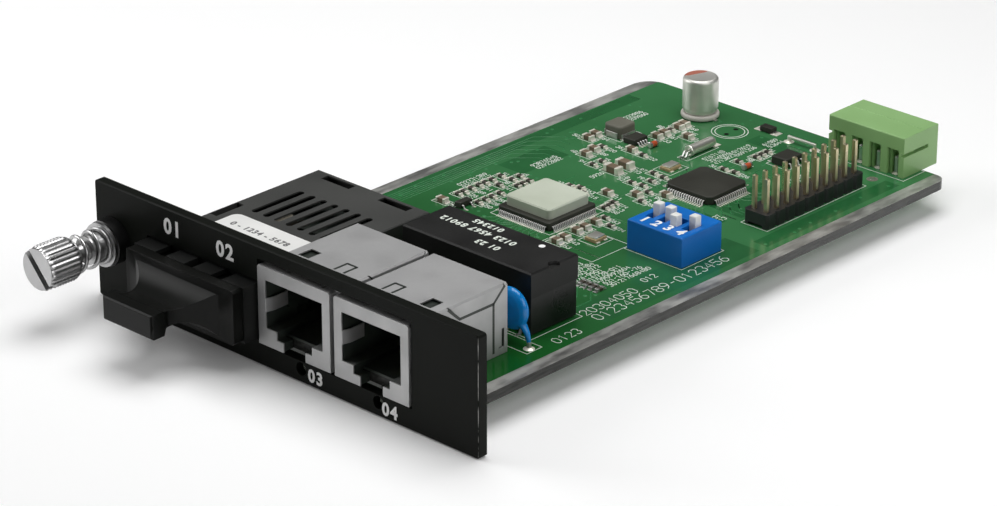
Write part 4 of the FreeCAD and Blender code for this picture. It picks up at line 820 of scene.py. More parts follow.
def add_box(mesh: Shape, low: Sequence[float], high: Sequence[float], paint: int = 0,
            round_off: float = 0.0) -> None:
    """Adds a box to a bmesh.

    Args:
        mesh: Where it goes.
        low: Lowest corner.
        high: Highest corner.
        paint: Material index.
        round_off: Rounding of its edges, millimetres.
    """
    x, y, z = zip(low, high)
    faces = hexahedron(mesh, [mesh.verts.new((a, b, c)) for a in x for b in y for c in z], paint)
    if round_off:
        bevel(mesh, {e for f in faces for e in f.edges}, round_off, 2)


def bevel(mesh: Shape, edges: Iterable[bmesh.types.BMEdge], size: float, segments: int = 1,
          clamp: bool = False) -> None:
    """Rounds edges; the new faces keep their neighbours' paint.

    Args:
        mesh: What is rounded.
        edges: Its edges to round.
        size: Width of the rounding, millimetres.
        segments: Faces across it.
        clamp: Whether it stops where roundings would meet.
    """
    bmesh.ops.bevel(mesh, geom=list(edges), offset=size * MM, segments=segments, profile=0.5,
                    affect="EDGES", clamp_overlap=clamp, material=-1)


def loft(mesh: Shape, rings: Sequence[Sequence[Vector]], paint: int = 0) -> None:
    """Skins rings of equal count and caps both ends.

    Args:
        mesh: Where it goes.
        rings: The rings' places in order.
        paint: Material index.
    """
    loops = [[mesh.verts.new(p) for p in ring] for ring in rings]
    faces = [mesh.faces.new((low[i], low[(i + 1) % len(low)], high[(i + 1) % len(low)], high[i]))
             for low, high in zip(loops, loops[1:]) for i in range(len(low))]
    faces += [mesh.faces.new(loops[0]), mesh.faces.new(loops[-1][::-1])]
    for face in faces:
        face.material_index = paint


def lathe(mesh: Shape, profile: Sequence[Point], centre: Vector, axis: str, count: int,
          paint: int = 0) -> None:
    """Turns a profile about an axis through a point.

    Args:
        mesh: Where it goes.
        profile: Pairs of radius and distance along the axis; radius 0 closes an end.
        centre: A point on the axis, metres.
        axis: Y or Z.
        count: Sections round the axis.
        paint: Material index.
    """
    rings = []
    for radius, along in profile:
        ring = []
        for i in range(count if radius > 0 else 1):
            turn = 2 * math.pi * i / count
            a, b = radius * MM * math.cos(turn), radius * MM * math.sin(turn)
            step = Vector((a, along * MM, b)) if axis == "Y" else Vector((a, b, along * MM))
            ring.append(mesh.verts.new(centre + step))
        rings.append(ring)
    for low, high in zip(rings, rings[1:]):
        for i in range(count):
            j = (i + 1) % count
            corners = [low[i % len(low)], low[j % len(low)], high[j % len(high)],
                       high[i % len(high)]]
            unique = list(dict.fromkeys(corners))
            if len(unique) > 2:
                mesh.faces.new(unique).material_index = paint


def round_corner(radius: float, along: float, size: float, rise: float, steps: int) -> list[Point]:
    """Gives the profile points of an outer rounding, from the side to the end face.

    Args:
        radius: Radius of the side.
        along: Where the end face is.
        size: Rounding radius.
        rise: 1 where the end face is the far one, -1 for the near one.
        steps: Points less one.

    Returns:
        Pairs of radius and distance.
    """
    turns = [math.pi / 2 * i / steps for i in range(steps + 1)]
    return [(radius - size + size * math.cos(t),
             along - rise * (size - size * math.sin(t))) for t in turns]


def feet(node: Piece) -> list[Vector]:
    """Finds where a node's pins come out under the board.

    Args:
        node: The CAD node.

    Returns:
        One place for each pin, at the board's underside.
    """
    groups: list[list[Vector]] = []
    for place in (v.co.copy() for v in node.data.vertices if v.co.z <= LEG_LEVEL * MM):
        near = (g for g in groups if (g[0].xy - place.xy).length < PIN_SPREAD * MM)
        group = next(near, None)
        if group is None:
            groups.append([place])
        else:
            group.append(place)
    return [Vector(((min(p.x for p in g) + max(p.x for p in g)) / 2,
                    (min(p.y for p in g) + max(p.y for p in g)) / 2,
                    BOARD_UNDER * MM)) for g in groups]


@dataclass
class Maker:
    """What each group of pieces is made from."""

    frame: dict
    palette: Palette

    def solids(self, node: str) -> list[Box]:
        """Gives the boxes of a node's solids."""
        return islands(self.frame["nodes"][node])

    def finish(self, name: str, mesh: Shape, coats: Sequence[str | Ink], slot: str, node: str = "",
               crease: float = 0.0, body: str = CARD) -> None:
        """Makes a piece of a shape and hands it to the frame.

        Args:
            name: The piece's name.
            mesh: The shape.
            coats: Its finishes, by material index.
            slot: The record's slot.
            node: The CAD node that it replaces, if any.
            crease: Degrees above which a smooth piece stays sharp, or 0 for flat shading.
            body: The body that carries it.
        """
        piece = mesh_piece(name, mesh, [self.palette.coat(c) for c in coats])
        keep(smooth(piece, crease) if crease else piece, slot, node, body)

    def lay(self, name: str, lines: list[list[Point]], layer: Ink, level: float, size: Point,
            slot: str) -> None:
        """Sweeps flat ribbons along lines on the board.

        Args:
            name: The piece's name.
            lines: Lines on the card, millimetres.
            layer: What they are printed or plated in.
            level: Their height above the board.
            size: Ribbon width and thickness, millimetres.
            slot: The record's slot.
        """
        raised = [[at(x, y, BOARD_TOP + level) for x, y in line] for line in lines]
        tree = sweep_tree(name + "_tree", self.palette.coat(layer))
        keep(run_tree(name, raised, tree, Width=size[0], Thickness=size[1]), slot)


@dataclass(frozen=True)
class Edge:
    """How far one CAD node's sharp edges are rounded, and what carries it."""

    node: str
    radius: float = 0.0
    segments: int = 2
    body: str = CARD


ROUNDED = [
    Edge("front_panel", 0.12), Edge("dust_plug", 0.12, body="plug"),
    Edge("transceiver_housing", 0.06), Edge("transceiver_cover", 0.05),
    Edge("jack_shield_1", 0.045), Edge("jack_shield_2", 0.045),
    Edge("transformer_cap", 0.12), Edge("transformer_tray", 0.08), Edge("main_chip", 0.06),
    Edge("control_chip", 0.06), Edge("small_chips", 0.05), Edge("dip_switch_body", 0.10),
    Edge("terminal_housing", 0.10), Edge("header_base", 0.05), Edge("heat_pad", 0.30, 4),
    Edge("power_inductor", 0.22, 3),
    *(Edge(f"dip_slider_{i}", 0.42, 4, f"slider_{i}") for i in (1, 2, 3, 4)),
    Edge("jumper_link", 0.16, 3), Edge("screw_ferrule"), Edge("screw_sleeve"),
    Edge("bracket_screws"), Edge("panel_brackets", 0.06), Edge("terminal_pins", 0.12),
    Edge("status_lamps"), Edge("transmitter_barrel"), Edge("receiver_barrel"),
    Edge("jack_insert_1"), Edge("jack_insert_2"),
]


class Rounding(Maker):
    """Gives each CAD node its finish, and stands rounded copies in for the listed ones."""

    def build(self) -> None:
        """Dresses and rounds."""
        slots = {part["node"]: part["material_slot"] for part in self.frame["record"]["subparts"]}
        for name, slot in slots.items():
            node = self.frame["nodes"][name]
            node.data.materials.clear()
            # The swapped finishes include painted shade on the transceiver board and the
            # transformer tray.
            node.data.materials.append(self.palette.coat(SHADE_AND_FINISH_SWAPS.get(name, slot)))
            LOG.info("%s in %s", name, slot)
        for edge in ROUNDED:
            mesh = welded(self.frame["nodes"][edge.node])
            bmesh.ops.dissolve_limit(mesh, angle_limit=FLAT_ANGLE, verts=mesh.verts,
                                     edges=mesh.edges)
            if edge.radius:
                sharp = [e for e in mesh.edges
                         if len(e.link_faces) == 2 and e.calc_face_angle(0.0) > SHARP_ANGLE
                         and e.calc_length() > 1.2 * edge.radius * MM]
                bevel(mesh, sharp, edge.radius, edge.segments, True)
            slot = slots[edge.node]
            # Rounded copies take the same swapped finishes, painted shade included.
            self.finish(edge.node + "_rounded", mesh, [SHADE_AND_FINISH_SWAPS.get(edge.node, slot)], slot,
                        edge.node, 38, edge.body)


@dataclass
class ChipParts(Maker):
    """Chip capacitors and resistors: a body between tinned ends, on solder."""

    end_share: float = 0.22
    proud: float = 0.02
    fillet: float = 0.42
    fillet_rise: float = 0.55
    rounding: float = 0.05
    shortest_edge: float = 0.2

    def build(self) -> None:
        """Replaces both nodes of plain blocks with finished parts."""
        lift = self.proud * MM
        for node, slot in (("chip_capacitors", "chip_part_brown"),
                           ("chip_resistors", "chip_part_dark")):
            mesh = bmesh.new()
            for low, high in self.solids(node):
                end = (high.x - low.x) * self.end_share
                add_box(mesh, (low.x + end, low.y + lift, low.z + lift),
                        (high.x - end, high.y - lift, high.z - lift))
                add_box(mesh, low, (low.x + end, high.y, high.z), 1)
                add_box(mesh, (high.x - end, low.y, low.z), high, 1)
                self.solder(mesh, low, high)
            bevel(mesh, [e for e in mesh.edges if e.calc_length() > self.shortest_edge * MM],
                  self.rounding)
            self.finish(node + "_dressed", mesh, [slot, Ink.SOLDER_WITH_PAINTED_HIGHLIGHT], slot, node)

    def solder(self, mesh: Shape, low: Vector, high: Vector) -> None:
        """Adds the sloped solder at both ends of a part.

        Args:
            mesh: Where it goes.
            low: The part's lowest corner.
            high: The part's highest corner.
        """
        rise = (high.z - low.z) * self.fillet_rise
        for edge, run in ((low.x, -self.fillet * MM), (high.x, self.fillet * MM)):
            slope = ((edge, rise), (edge + run * 0.4, rise * 0.3), (edge + run, 0.0), (edge, 0.0))
            loft(mesh, [[Vector((x, y, low.z + z)) for x, z in slope]
                        for y in (low.y + 0.04 * MM, high.y - 0.04 * MM)], 1)


@dataclass
class GullLeads(Maker):
    """Bent leads of the flat chips, with the pads and solder under their feet."""

    thick: float = 0.13
    shoulder: float = 0.12
    foot_rise: float = 0.075
    pad_grow: float = 0.38
    pad_share: float = 0.56
    pad_rise: float = 0.03

    def build(self) -> None:
        """Stands bent leads in for the plain ramps of three nodes."""
        for node, chips, width in (("main_chip_leads", [(38.6, 63.9)], 0.21),
                                   ("control_chip_leads", [(51.6, 89.0)], 0.25),
                                   ("small_chip_leads", [(29.2, 96.5), (53.95, 107.3),
                                                         (26.7, 56.4)], 0.34)):
            centres = [at(x, y, 0) for x, y in chips]
            pads = bmesh.new()
            lines = [self.bend(pads, low, high, centres, width) for low, high in self.solids(node)]
            tree = sweep_tree(node + "_tree", self.palette.coat("tin"))
            keep(run_tree(node + "_bent", lines, tree, Width=width, Thickness=self.thick), "tin",
                 node)
            self.finish(node + "_pads", pads, [Ink.SOLDER_WITH_PAINTED_HIGHLIGHT], "tin")

    def bend(self, pads: Shape, low: Vector, high: Vector, centres: list[Vector],
             width: float) -> list[Vector]:
        """Works out one lead's bend and lays its pad.

        Args:
            pads: Where the pad goes.
            low: The plain lead's lowest corner.
            high: Its highest corner.
            centres: The chips' centres.
            width: Lead width.

        Returns:
            The lead's line.
        """
        middle = (low + high) / 2
        away = middle - min(centres, key=lambda c: (c.xy - middle.xy).length)
        axis = 0 if len(centres) > 1 or abs(away.x) > abs(away.y) else 1
        side = math.copysign(1, away[axis])
        near, far = (low[axis], high[axis]) if side > 0 else (high[axis], low[axis])
        run = side * abs(far - near)
        level = high.z - self.shoulder * MM
        foot = (BOARD_TOP + self.foot_rise) * MM
        path = []
        for share, z in ((-0.15, level), (0.30, level), (0.40, level - 0.08 * MM),
                         (0.52, foot + 0.06 * MM),
                         (0.62, foot), (1.0, foot)):
            path.append(Vector((middle.x, middle.y, z)))
            path[-1][axis] = near + run * share
        first, last = middle.copy(), middle.copy()
        first[axis], last[axis] = sorted((near + run * 0.5, far + side * self.pad_grow * MM))
        first[1 - axis] -= width * self.pad_share * MM
        last[1 - axis] += width * self.pad_share * MM
        first.z, last.z = (BOARD_TOP - 0.01) * MM, (BOARD_TOP + self.pad_rise) * MM
        add_box(pads, first, last)
        return path


@dataclass
class RoundParts(Maker):
    """Smooth bodies in place of the faceted round parts on the board."""

    moulded_length: float = 2.2
    disc_radius: float = 3.65
    disc_inset: float = 0.10
    leg_rise: float = 0.95
    leg_steps: int = 8
    leg_sides: int = 12
    fuse_size: float = 0.13
    fuse_rounds: int = 14
    cap_share: float = 0.24

    def build(self) -> None:
        """Makes the can, its base, the crystal, the diodes and the disc."""
        can = FINISHES["can_skin"]
        centre = at(can.x, can.y, 0)
        low, high = node_box("can_capacitor")
        z0, z1, r = low.z / MM, high.z / MM, can.radius
        profile = [(0, z0 + 0.05), (r - 0.5, z0 + 0.05), (r - 0.25, z0 + 0.15),
                   (r - 0.2, z0 + 0.45),
                   (r - 0.12, z0 + 0.7), (r, z0 + 0.95), (r, (z0 + z1) / 2), (r, z1 - 0.75)]
        profile += round_corner(r, z1, 0.62, 1, 7)[1:]
        profile += [(r - 0.85, z1 - 0.06), (r - 1.1, z1 - 0.10), (0, z1 - 0.10)]
        self.turned("can_body", profile, centre, "Z", 64, "can_skin", "can_metal", "can_capacitor")
        low, high = node_box("can_capacitor_base")
        z0, z1, r = low.z / MM, high.z / MM, (high.x - low.x) / 2 / MM
        profile = [(0, z0), (r - 0.3, z0), *round_corner(r, z0, 0.3, -1, 4)[::-1], (r, z1 - 0.42)]
        profile += round_corner(r, z1, 0.4, 1, 5)[1:] + [(0, z1)]
        self.turned("can_seat", profile, centre, "Z", 64, "base_pale", "base_pale",
                    "can_capacitor_base")
        low, high = node_box("crystal_can")
        y0, y1, r = low.y / MM, high.y / MM, (high.z - low.z) / 2 / MM
        centre = Vector(((low.x + high.x) / 2, 0, (low.z + high.z) / 2))
        profile = [(0, y0 + 0.12), (r - 0.35, y0 + 0.12), (r - 0.25, y0), (r - 0.06, y0),
                   (r, y0 + 0.08), (r, y0 + 0.32), (r - 0.08, y0 + 0.42), (r - 0.08, y1 - 0.5)]
        profile += round_corner(r - 0.08, y1, 0.42, 1, 6)[1:] + [(0, y1)]
        self.turned("crystal_body", profile, centre, "Y", 40, "crystal", "crystal", "crystal_can")
        self.diodes()
        self.disc()

    def turned(self, name: str, profile: list[Point], centre: Vector, axis: str, count: int,
               coat: str, slot: str, node: str) -> None:
        """Makes one turned piece.

        Args:
            name: The piece's name.
            profile: Pairs of radius and distance along the axis.
            centre: A point on the axis.
            axis: Y or Z.
            count: Sections round the axis.
            coat: Its finish.
            slot: The record's slot.
            node: The CAD node that it replaces.
        """
        mesh = bmesh.new()
        lathe(mesh, profile, centre, axis, count)
        self.finish(name, mesh, [coat], slot, node, 50)

    def diodes(self) -> None:
        """Makes glass diodes between metal caps, and the moulded one at the rear."""
        mesh = bmesh.new()
        for low, high in self.solids("diodes"):
            middle = (low + high) / 2
            if high.x - low.x > self.moulded_length * MM:
                tab, half = 0.5 * MM, 0.5 * MM
                add_box(mesh, (low.x + tab, low.y, low.z + 0.1 * MM),
                        (high.x - tab, high.y, high.z), 2, 0.12)
                for x in (low.x, high.x - 0.8 * MM):
                    add_box(mesh, (x, middle.y - half, low.z),
                            (x + 0.8 * MM, middle.y + half, low.z + 0.32 * MM), 1)
                continue
            centre = Vector((middle.x, 0, middle.z))
            y0, y1, r = low.y / MM, high.y / MM, (high.x - low.x) / 2 / MM
            cap = (y1 - y0) * self.cap_share
            glass = (y0 + cap * 0.9, y1 - cap * 0.9)
            lathe(mesh, [(0, glass[0]), (r - 0.06, glass[0]), (r - 0.03, (y0 + y1) / 2),
                         (r - 0.06, glass[1]), (0, glass[1])], centre, "Y", 24)
            for a, b in ((y0, y0 + cap), (y1 - cap, y1)):
                lathe(mesh, [(0, a), (r - 0.12, a), (r, a + 0.1), (r, b - 0.1), (r - 0.12, b),
                             (0, b)], centre,
                      "Y", 24, 1)
        self.finish("diodes_dressed", mesh, ["diode_body", "tin", "chip_black"], "diode_body",
                    "diodes", 40)

    def disc(self) -> None:
        """Dips the disc and its two legs in one smooth coat."""
        low, high = node_box("disc_capacitor")
        legs = sorted(feet(self.frame["nodes"]["disc_capacitor_leads"]), key=lambda p: p.x)
        r = self.disc_radius - self.disc_inset
        centre = Vector(((legs[0].x + legs[1].x) / 2, (low.y + high.y) / 2,
                         high.z - self.disc_radius * MM))
        half = (high.y - low.y) / 2 / MM
        front = [(0, -half), (r * 0.45, -half * 0.96), (r * 0.74, -half * 0.78),
                 (r * 0.92, -half * 0.48)]
        mesh = bmesh.new()
        lathe(mesh, front + [(r, 0)] + [(a, -b) for a, b in front[::-1]], centre, "Y", 40)
        start = (BOARD_TOP + self.leg_rise) * MM
        turns = [2 * math.pi * i / self.leg_sides for i in range(self.leg_sides)]
        circle = [Vector((math.cos(t), math.sin(t), 0)) for t in turns]
        for leg in legs:
            side = math.copysign(1, leg.x - centre.x)
            rings = []
            for share in (t / self.leg_steps for t in range(self.leg_steps + 1)):
                place = Vector((leg.x - side * MM * (0.05 + 2.4 * share ** 2.1), centre.y,
                                start + (centre.z - 1.2 * MM - start) * share))
                radius = (0.36 + 0.62 * share ** 1.4) * MM
                rings.append([place + step * radius for step in circle])
            loft(mesh, rings)
        piece = mesh_piece("disc_coat", mesh, [self.palette.coat("disc_blue")])
        fuse = piece.modifiers.new("fuse", "REMESH")
        fuse.mode = "VOXEL"
        fuse.voxel_size = self.fuse_size * MM
        relax = piece.modifiers.new("relax", "SMOOTH")
        relax.factor = 0.5
        relax.iterations = self.fuse_rounds
        made = applied(piece)
        piece.modifiers.clear()
        piece.data = made
        piece.data.shade_smooth()
        keep(piece, "disc_blue", "disc_capacitor")


@dataclass
class SmallParts(Maker):
    """Flat crystals, the coil's tabs, four resistors beside the transformer and wide pads."""

    row: Point = (61.75, 47.0)
    row_step: float = 1.22
    row_count: int = 4
    lid_inset: float = 0.2
    tray_share: float = 0.66
    tray_rounding: float = 0.09
    pad_half: Point = (0.75, 0.85)
    pad_rise: float = 0.12

    def build(self) -> None:
        """Makes every kind of small part."""
        self.flat_crystals()
        self.tabs()
        self.end_pads()

    def flat_crystals(self) -> None:
        """Makes a pale ceramic tray under a metal lid, on four corner joints."""
        mesh = bmesh.new()
        inset = self.lid_inset * MM
        for low, high in self.solids("flat_crystals"):
            step = low.z + (high.z - low.z) * self.tray_share
            add_box(mesh, low, (high.x, high.y, step), 0, self.tray_rounding)
            add_box(mesh, (low.x + inset, low.y + inset, step - 0.02 * MM),
                    (high.x - inset, high.y - inset, high.z),
                    1, self.tray_rounding)
            for x in (low.x, high.x):
                for y in (low.y + 0.5 * MM, high.y - 0.5 * MM):
                    add_box(mesh, (x - 0.28 * MM, y - 0.4 * MM, low.z - 0.01 * MM),
                            (x + 0.28 * MM, y + 0.4 * MM, low.z + 0.16 * MM), 2)
        self.finish("flat_crystals_dressed", mesh, [Ink.CERAMIC, "crystal", Ink.SOLDER_WITH_PAINTED_HIGHLIGHT], "crystal",
                    "flat_crystals", 35)

    def tabs(self) -> None:
        """Adds tinned tabs to the coil and four part bodies with their ends."""
        mesh = bmesh.new()
        for low, high in (((22.75, 95.6, 5.6), (23.05, 99.0, 6.5)),
                          ((26.75, 95.6, 5.6), (27.05, 99.0, 6.5)),
                          ((23.6, 95.05, 5.6), (26.2, 95.3, 6.7))):
            add_box(mesh, at(*low), at(*high))
        for i in range(self.row_count):
            x, y = self.row[0] + self.row_step * i, self.row[1]
            for half, y0, y1, z0, z1, paint in ((0.42, -0.4, 0.4, 5.62, 6.12, 1),
                                                (0.44, -0.85, -0.38, 5.6, 6.14, 0),
                                                (0.44, 0.38, 0.85, 5.6, 6.14, 0),
                                                (0.40, -1.25, -0.8, 5.59, 5.78, 0),
                                                (0.40, 0.8, 1.25, 5.59, 5.78, 0)):
                add_box(mesh, at(x - half, y + y0, z0), at(x + half, y + y1, z1), paint)
        bevel(mesh, mesh.edges, 0.05)
        self.finish("coil_tabs_and_row", mesh, ["tin", "chip_part_dark"], "tin")

    def end_pads(self) -> None:
        """Lays a wide soldered pad under the moulded diode's ends and the crystal's far end."""
        spots = [(x, (low.y + high.y) / 2) for low, high in self.solids("diodes")
                 for x in (low.x, high.x) if high.x - low.x > RoundParts.moulded_length * MM]
        spots += [((low.x + high.x) / 2, high.y + 0.5 * MM)
                  for low, high in self.solids("crystal_can")]
        mesh = bmesh.new()
        wide, deep = (half * MM for half in self.pad_half)
        for x, y in spots:
            add_box(mesh, (x - wide, y - deep, BOARD_TOP * MM),
                    (x + wide, y + deep, (BOARD_TOP + self.pad_rise) * MM), 0, 0.06)
        self.finish("end_pads", mesh, [Ink.SOLDER_WITH_PAINTED_HIGHLIGHT], "tin", crease=35)


@dataclass
class ShieldSeamShade(Maker):
    """Painted shade: dark bars laid over the cut gaps round the tongues and the folded flap of the
    jack shields, widening and darkening them.
    """

    top: float = 17.2
    right: float = 70.05
    half: float = 0.23
    tongue_half: float = 1.03
    levels: Point = (-0.08, 0.012)

    def build(self) -> None:
        """Lays the painted shade over every gap."""
        mesh = bmesh.new()
        for x in (48.75, 59.05):
            left, right = x - self.tongue_half, x + self.tongue_half
            path = [(left, 6.4), (left, 9.18), (right, 9.18), (right, 6.4)]
            self.run(mesh, [at(u, v, self.top) for u, v in path], Vector((0, 0, 1)))
        for path in ([(8.2, 16.86), (10.6, 14.6), (17.9, 14.6), (20.3, 16.8)],
                     [(17.9, 14.6), (17.9, 6.4)]):
            self.run(mesh, [at(self.right, u, v) for u, v in path], Vector((1, 0, 0)))
        self.finish("shield_seam_shade", mesh, ["insert_black"], "insert_black")

    def run(self, mesh: Shape, line: list[Vector], out: Vector) -> None:
        """Adds thin dark bars of painted shade along a line on a flat sheet.

        Args:
            mesh: Where they go.
            line: Corners of the line.
            out: Away from the sheet.
        """
        for a, b in zip(line, line[1:]):
            along = (b - a).normalized() * self.half * 0.5 * MM
            side = along.cross(out) * 2
            hexahedron(mesh, [mesh.verts.new(p + s + out * h * MM) for p in (a - along, b + along)
                              for s in (-side, side) for h in self.levels])


@dataclass
class KnurledHead(Maker):
    """Thumbscrew whose head carries notched ridges round a plain core."""

    ridges: int = 28
    notches: int = 18
    depth: float = 0.27
    notch: float = 0.13
    ridge_share: float = 0.86
    crest_share: float = 0.34
    head_share: float = 0.84
    foot: float = 0.08
    slot_angle: float = -48.0
    slot_half: float = 0.55
    slot_depth: float = 1.2

    def build(self) -> None:
        """Thins the head of a copy and lays the ridges round it."""
        low, high = node_box("thumbscrew")
        centre = Vector(((low.x + high.x) / 2, 0, (low.z + high.z) / 2))
        radius = (high.x - low.x) / 2
        root = radius - self.depth * MM
        mesh = welded(self.frame["nodes"]["thumbscrew"])
        head = [v for v in mesh.verts if math.hypot(v.co.x - centre.x,
                                                    v.co.z - centre.z) > self.head_share * radius]
        front, rear = min(v.co.y for v in head), max(v.co.y for v in head)
        for vert in head:
            out = math.hypot(vert.co.x - centre.x, vert.co.z - centre.z)
            vert.co.x = centre.x + (vert.co.x - centre.x) * root / out
            vert.co.z = centre.z + (vert.co.z - centre.z) * root / out
        bmesh.ops.remove_doubles(mesh, verts=mesh.verts, dist=0.02 * MM)
        bmesh.ops.dissolve_limit(mesh, angle_limit=FLAT_ANGLE, verts=mesh.verts, edges=mesh.edges)
        half = math.pi * radius / self.ridges * self.ridge_share
        for i in range(self.ridges):
            angle = 2 * math.pi * (i + 0.5) / self.ridges
            away = abs((math.degrees(angle) - self.slot_angle + 90) % 180 - 90)
            open_end = away < math.degrees(math.asin((self.slot_half * MM + half) / radius))
            start = low.y + (self.slot_depth + 0.05) * MM if open_end else front + 0.1 * MM
            loft(mesh, self.ridge(centre, angle, half, root, radius, (start, rear - 0.1 * MM)))
        self.finish("thumbscrew_knurled", mesh, ["nickel"], "nickel", "thumbscrew", 28, "screw")

    def ridge(self, centre: Vector, angle: float, half: float, root: float, radius: float,
              span: Point) -> list[list[Vector]]:
        """Works out one ridge with shallow notches along its crest.

        Args:
            centre: A point on the screw's axis.
            angle: The ridge's place round it.
            half: Half its width at the root.
            root: Radius of the core.
            radius: Largest radius of the head.
            span: Where it begins and ends along Y.

        Returns:
            Its rings.
        """
        out = Vector((math.cos(angle), 0, math.sin(angle)))
        side = Vector((-math.sin(angle), 0, math.cos(angle)))
        crest = half * self.crest_share
        top = math.sqrt(radius ** 2 - crest ** 2) - WELD
        base = root - self.foot * MM
        rings = []
        for k in range(self.notches + 1):
            level = top - (self.notch * MM if k % 2 else 0.0) if 0 < k < self.notches else root
            step = Vector((0, span[0] + (span[1] - span[0]) * k / self.notches, 0))
            spots = ((-half, base), (-half, root), (-crest, level), (crest, level), (half, root),
                     (half, base))
            rings.append([centre + side * w + out * r + step for w, r in spots])
        return rings


@dataclass
class PressedSpring(Maker):
    """Round-wire coil of the captive screw."""

    wire: float = 0.30
    turns: float = 3.4
    flat_turns: float = 0.55
    stroke: float = 4.0
    steps: int = 30

    def build(self) -> None:
        """Winds the coil along a helix whose ends lie flat."""
        low, high = node_box("screw_spring")
        joints = self.frame["record"]["behaviour"]["joints"]
        joint = next(j for j in joints if j["name"] == "screw_push")
        mean = (high.x - low.x) / 2 - self.wire * MM
        cx, cz = (low.x + high.x) / 2, (low.z + high.z) / 2
        start, end = low.y + self.wire * MM, high.y - self.wire * MM
        total = int(self.turns * self.steps)
        line = []
        for turn in (self.turns * i / total for i in range(total + 1)):
            share = min(max((turn - self.flat_turns) / (self.turns - 2 * self.flat_turns), 0.0),
                        1.0)
            angle = 2 * math.pi * turn
            line.append(Vector((cx + mean * math.cos(angle), start + (end - start) * share,
                                cz + mean * math.sin(angle))))
        tree = sweep_tree("spring_tree", self.palette.coat("spring_steel"), 12)
        piece = smooth(run_tree("spring_coil", [line], tree, Radius=self.wire), 60)
        keep(piece, "spring_steel", "screw_spring")
        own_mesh(piece)


@dataclass
class BoardCopper(Maker):
    """Copper under the mask, vias, pads and the solder on every pin."""

    seed: int = 77
    track: Point = (0.26, 0.014)
    drop: float = 0.62

    def build(self) -> None:
        """Lays the copper and the solder."""
        self.lay("board_tracks", self.tracks(), Ink.TRACK, 0.002, self.track, "board_green")
        self.pours()
        self.vias()
        self.joints()

    def tracks(self) -> list[list[Point]]:
        """Gives tracks that leave the chips, turn at 45 degrees and run on.

        Returns:
            The lines.
        """
        pick = random.Random(self.seed)
        lines = []
        for x, y, half, pitch, count in ((38.6, 63.9, 6.4, 0.8, 13), (51.6, 89.0, 5.9, 1.0, 11)):
            for quarter in range(4):
                for i in range(count):
                    shift = (i - (count - 1) / 2) * pitch
                    out = half + pick.uniform(0.6, 2.6)
                    lean = pick.uniform(0.5, 2.2) * (1 if shift > 0 else -1)
                    far = out + abs(lean) + pick.uniform(0.4, 4.6)
                    path = [(half, shift), (out, shift), (out + abs(lean), shift + lean),
                            (far, shift + lean)]
                    for _ in range(quarter):
                        path = [(-v, u) for u, v in path]
                    lines.append([(x + u, y + v) for u, v in path])
        for i in range(10):
            x, y = 42.6 + i * 2.7, 41.0 + i * 0.25
            lines.append([(x, 38.4), (x, y), (x - 2.0, y + 2.2), (x - 2.0, 52.0)])
        for i in range(6):
            x, y = 14.8 + i * 0.6, 86.0 - i * 2
            lines.append([(x, 40.0 + i), (x, y), (x + 4.2, y + 4.0), (x + 6.2, y + 4.0)])
        return lines

    def pours(self) -> None:
        """Lays the wide copper areas that show through the mask."""
        mesh = bmesh.new()
        for x0, x1, y0, y1 in ((66.6, 73.9, 38.9, 76.0), (13.9, 16.8, 40.0, 112.0),
                               (54.6, 62.4, 74.2, 81.4),
                               (56.4, 63.4, 84.0, 98.0), (30.0, 41.0, 40.0, 52.0),
                               (19.0, 24.8, 72.8, 84.4),
                               (42.8, 54.6, 109.6, 113.4), (70.9, 73.9, 78.0, 112.6)):
            add_box(mesh, at(x0, y0, BOARD_TOP - 0.02), at(x1, y1, BOARD_TOP + 0.004))
        self.finish("board_copper_areas", mesh, [Ink.POUR], "board_green")

    def vias(self) -> None:
        """Sets small filled vias between the parts."""
        pick = random.Random(self.seed + 5)
        places = []
        for x0, x1, y0, y1, count in ((30.0, 47.0, 54.0, 74.0, 34), (43.0, 60.0, 76.0, 100.0, 44),
                                      (19.5, 34.0, 72.0, 92.0, 20), (40.0, 66.0, 40.0, 53.0, 30),
                                      (32.0, 55.0, 103.0, 118.0, 22), (70.8, 74.4, 76.0, 116.0, 9),
                                      (14.5, 20.0, 44.0, 116.0, 22)):
            places += [[at(pick.uniform(x0, x1), pick.uniform(y0, y1),
                           BOARD_TOP - 0.01)] for _ in range(count)]
        tree = cone_tree("via_tree", self.palette.coat(Ink.TRACK), 10)
        keep(run_tree("board_vias", places, tree, Foot=0.36, Top=0.30, Height=0.03), "board_green")

    def joints(self) -> None:
        """Puts a solder cone where every pin comes out, and round the bare pins on top."""
        top = ["terminal_pins", "disc_capacitor_leads", "jumper_link", "can_capacitor_leads"]
        hidden = ["header_pins", "transformer_leads", "dip_switch_pins", "crystal_leads",
                  "transceiver_pins", "jack_contacts_1", "jack_contacts_2"]
        tree = cone_tree("joint_tree", self.palette.coat(Ink.SOLDER_WITH_PAINTED_HIGHLIGHT), 14)
        for name, nodes, level, foot, crown, height in (
                ("solder_under", top + hidden, BOARD_UNDER - self.drop, 0.30, 0.72, self.drop),
                ("solder_above", top, BOARD_TOP - 0.005, 0.95, 0.48, 0.22)):
            places = [[Vector((p.x, p.y, level * MM))]
                      for node in nodes for p in feet(self.frame["nodes"][node])]
            keep(run_tree(name, places, tree, Foot=foot, Top=crown, Height=height), "tin")
        mesh = bmesh.new()
        point = at(68.9, 111.6, BOARD_TOP)
        lathe(mesh, [(0, -0.01), (1.0, -0.01), (0.98, 0.022), (0, 0.022)], point, "Z", 28)
        lathe(mesh, [(0, 0.0), (0.46, 0.0), (0.42, 0.045), (0, 0.045)], point, "Z", 20, 1)
        self.finish("bare_points", mesh, ["ferrite", "tin"], "tin")


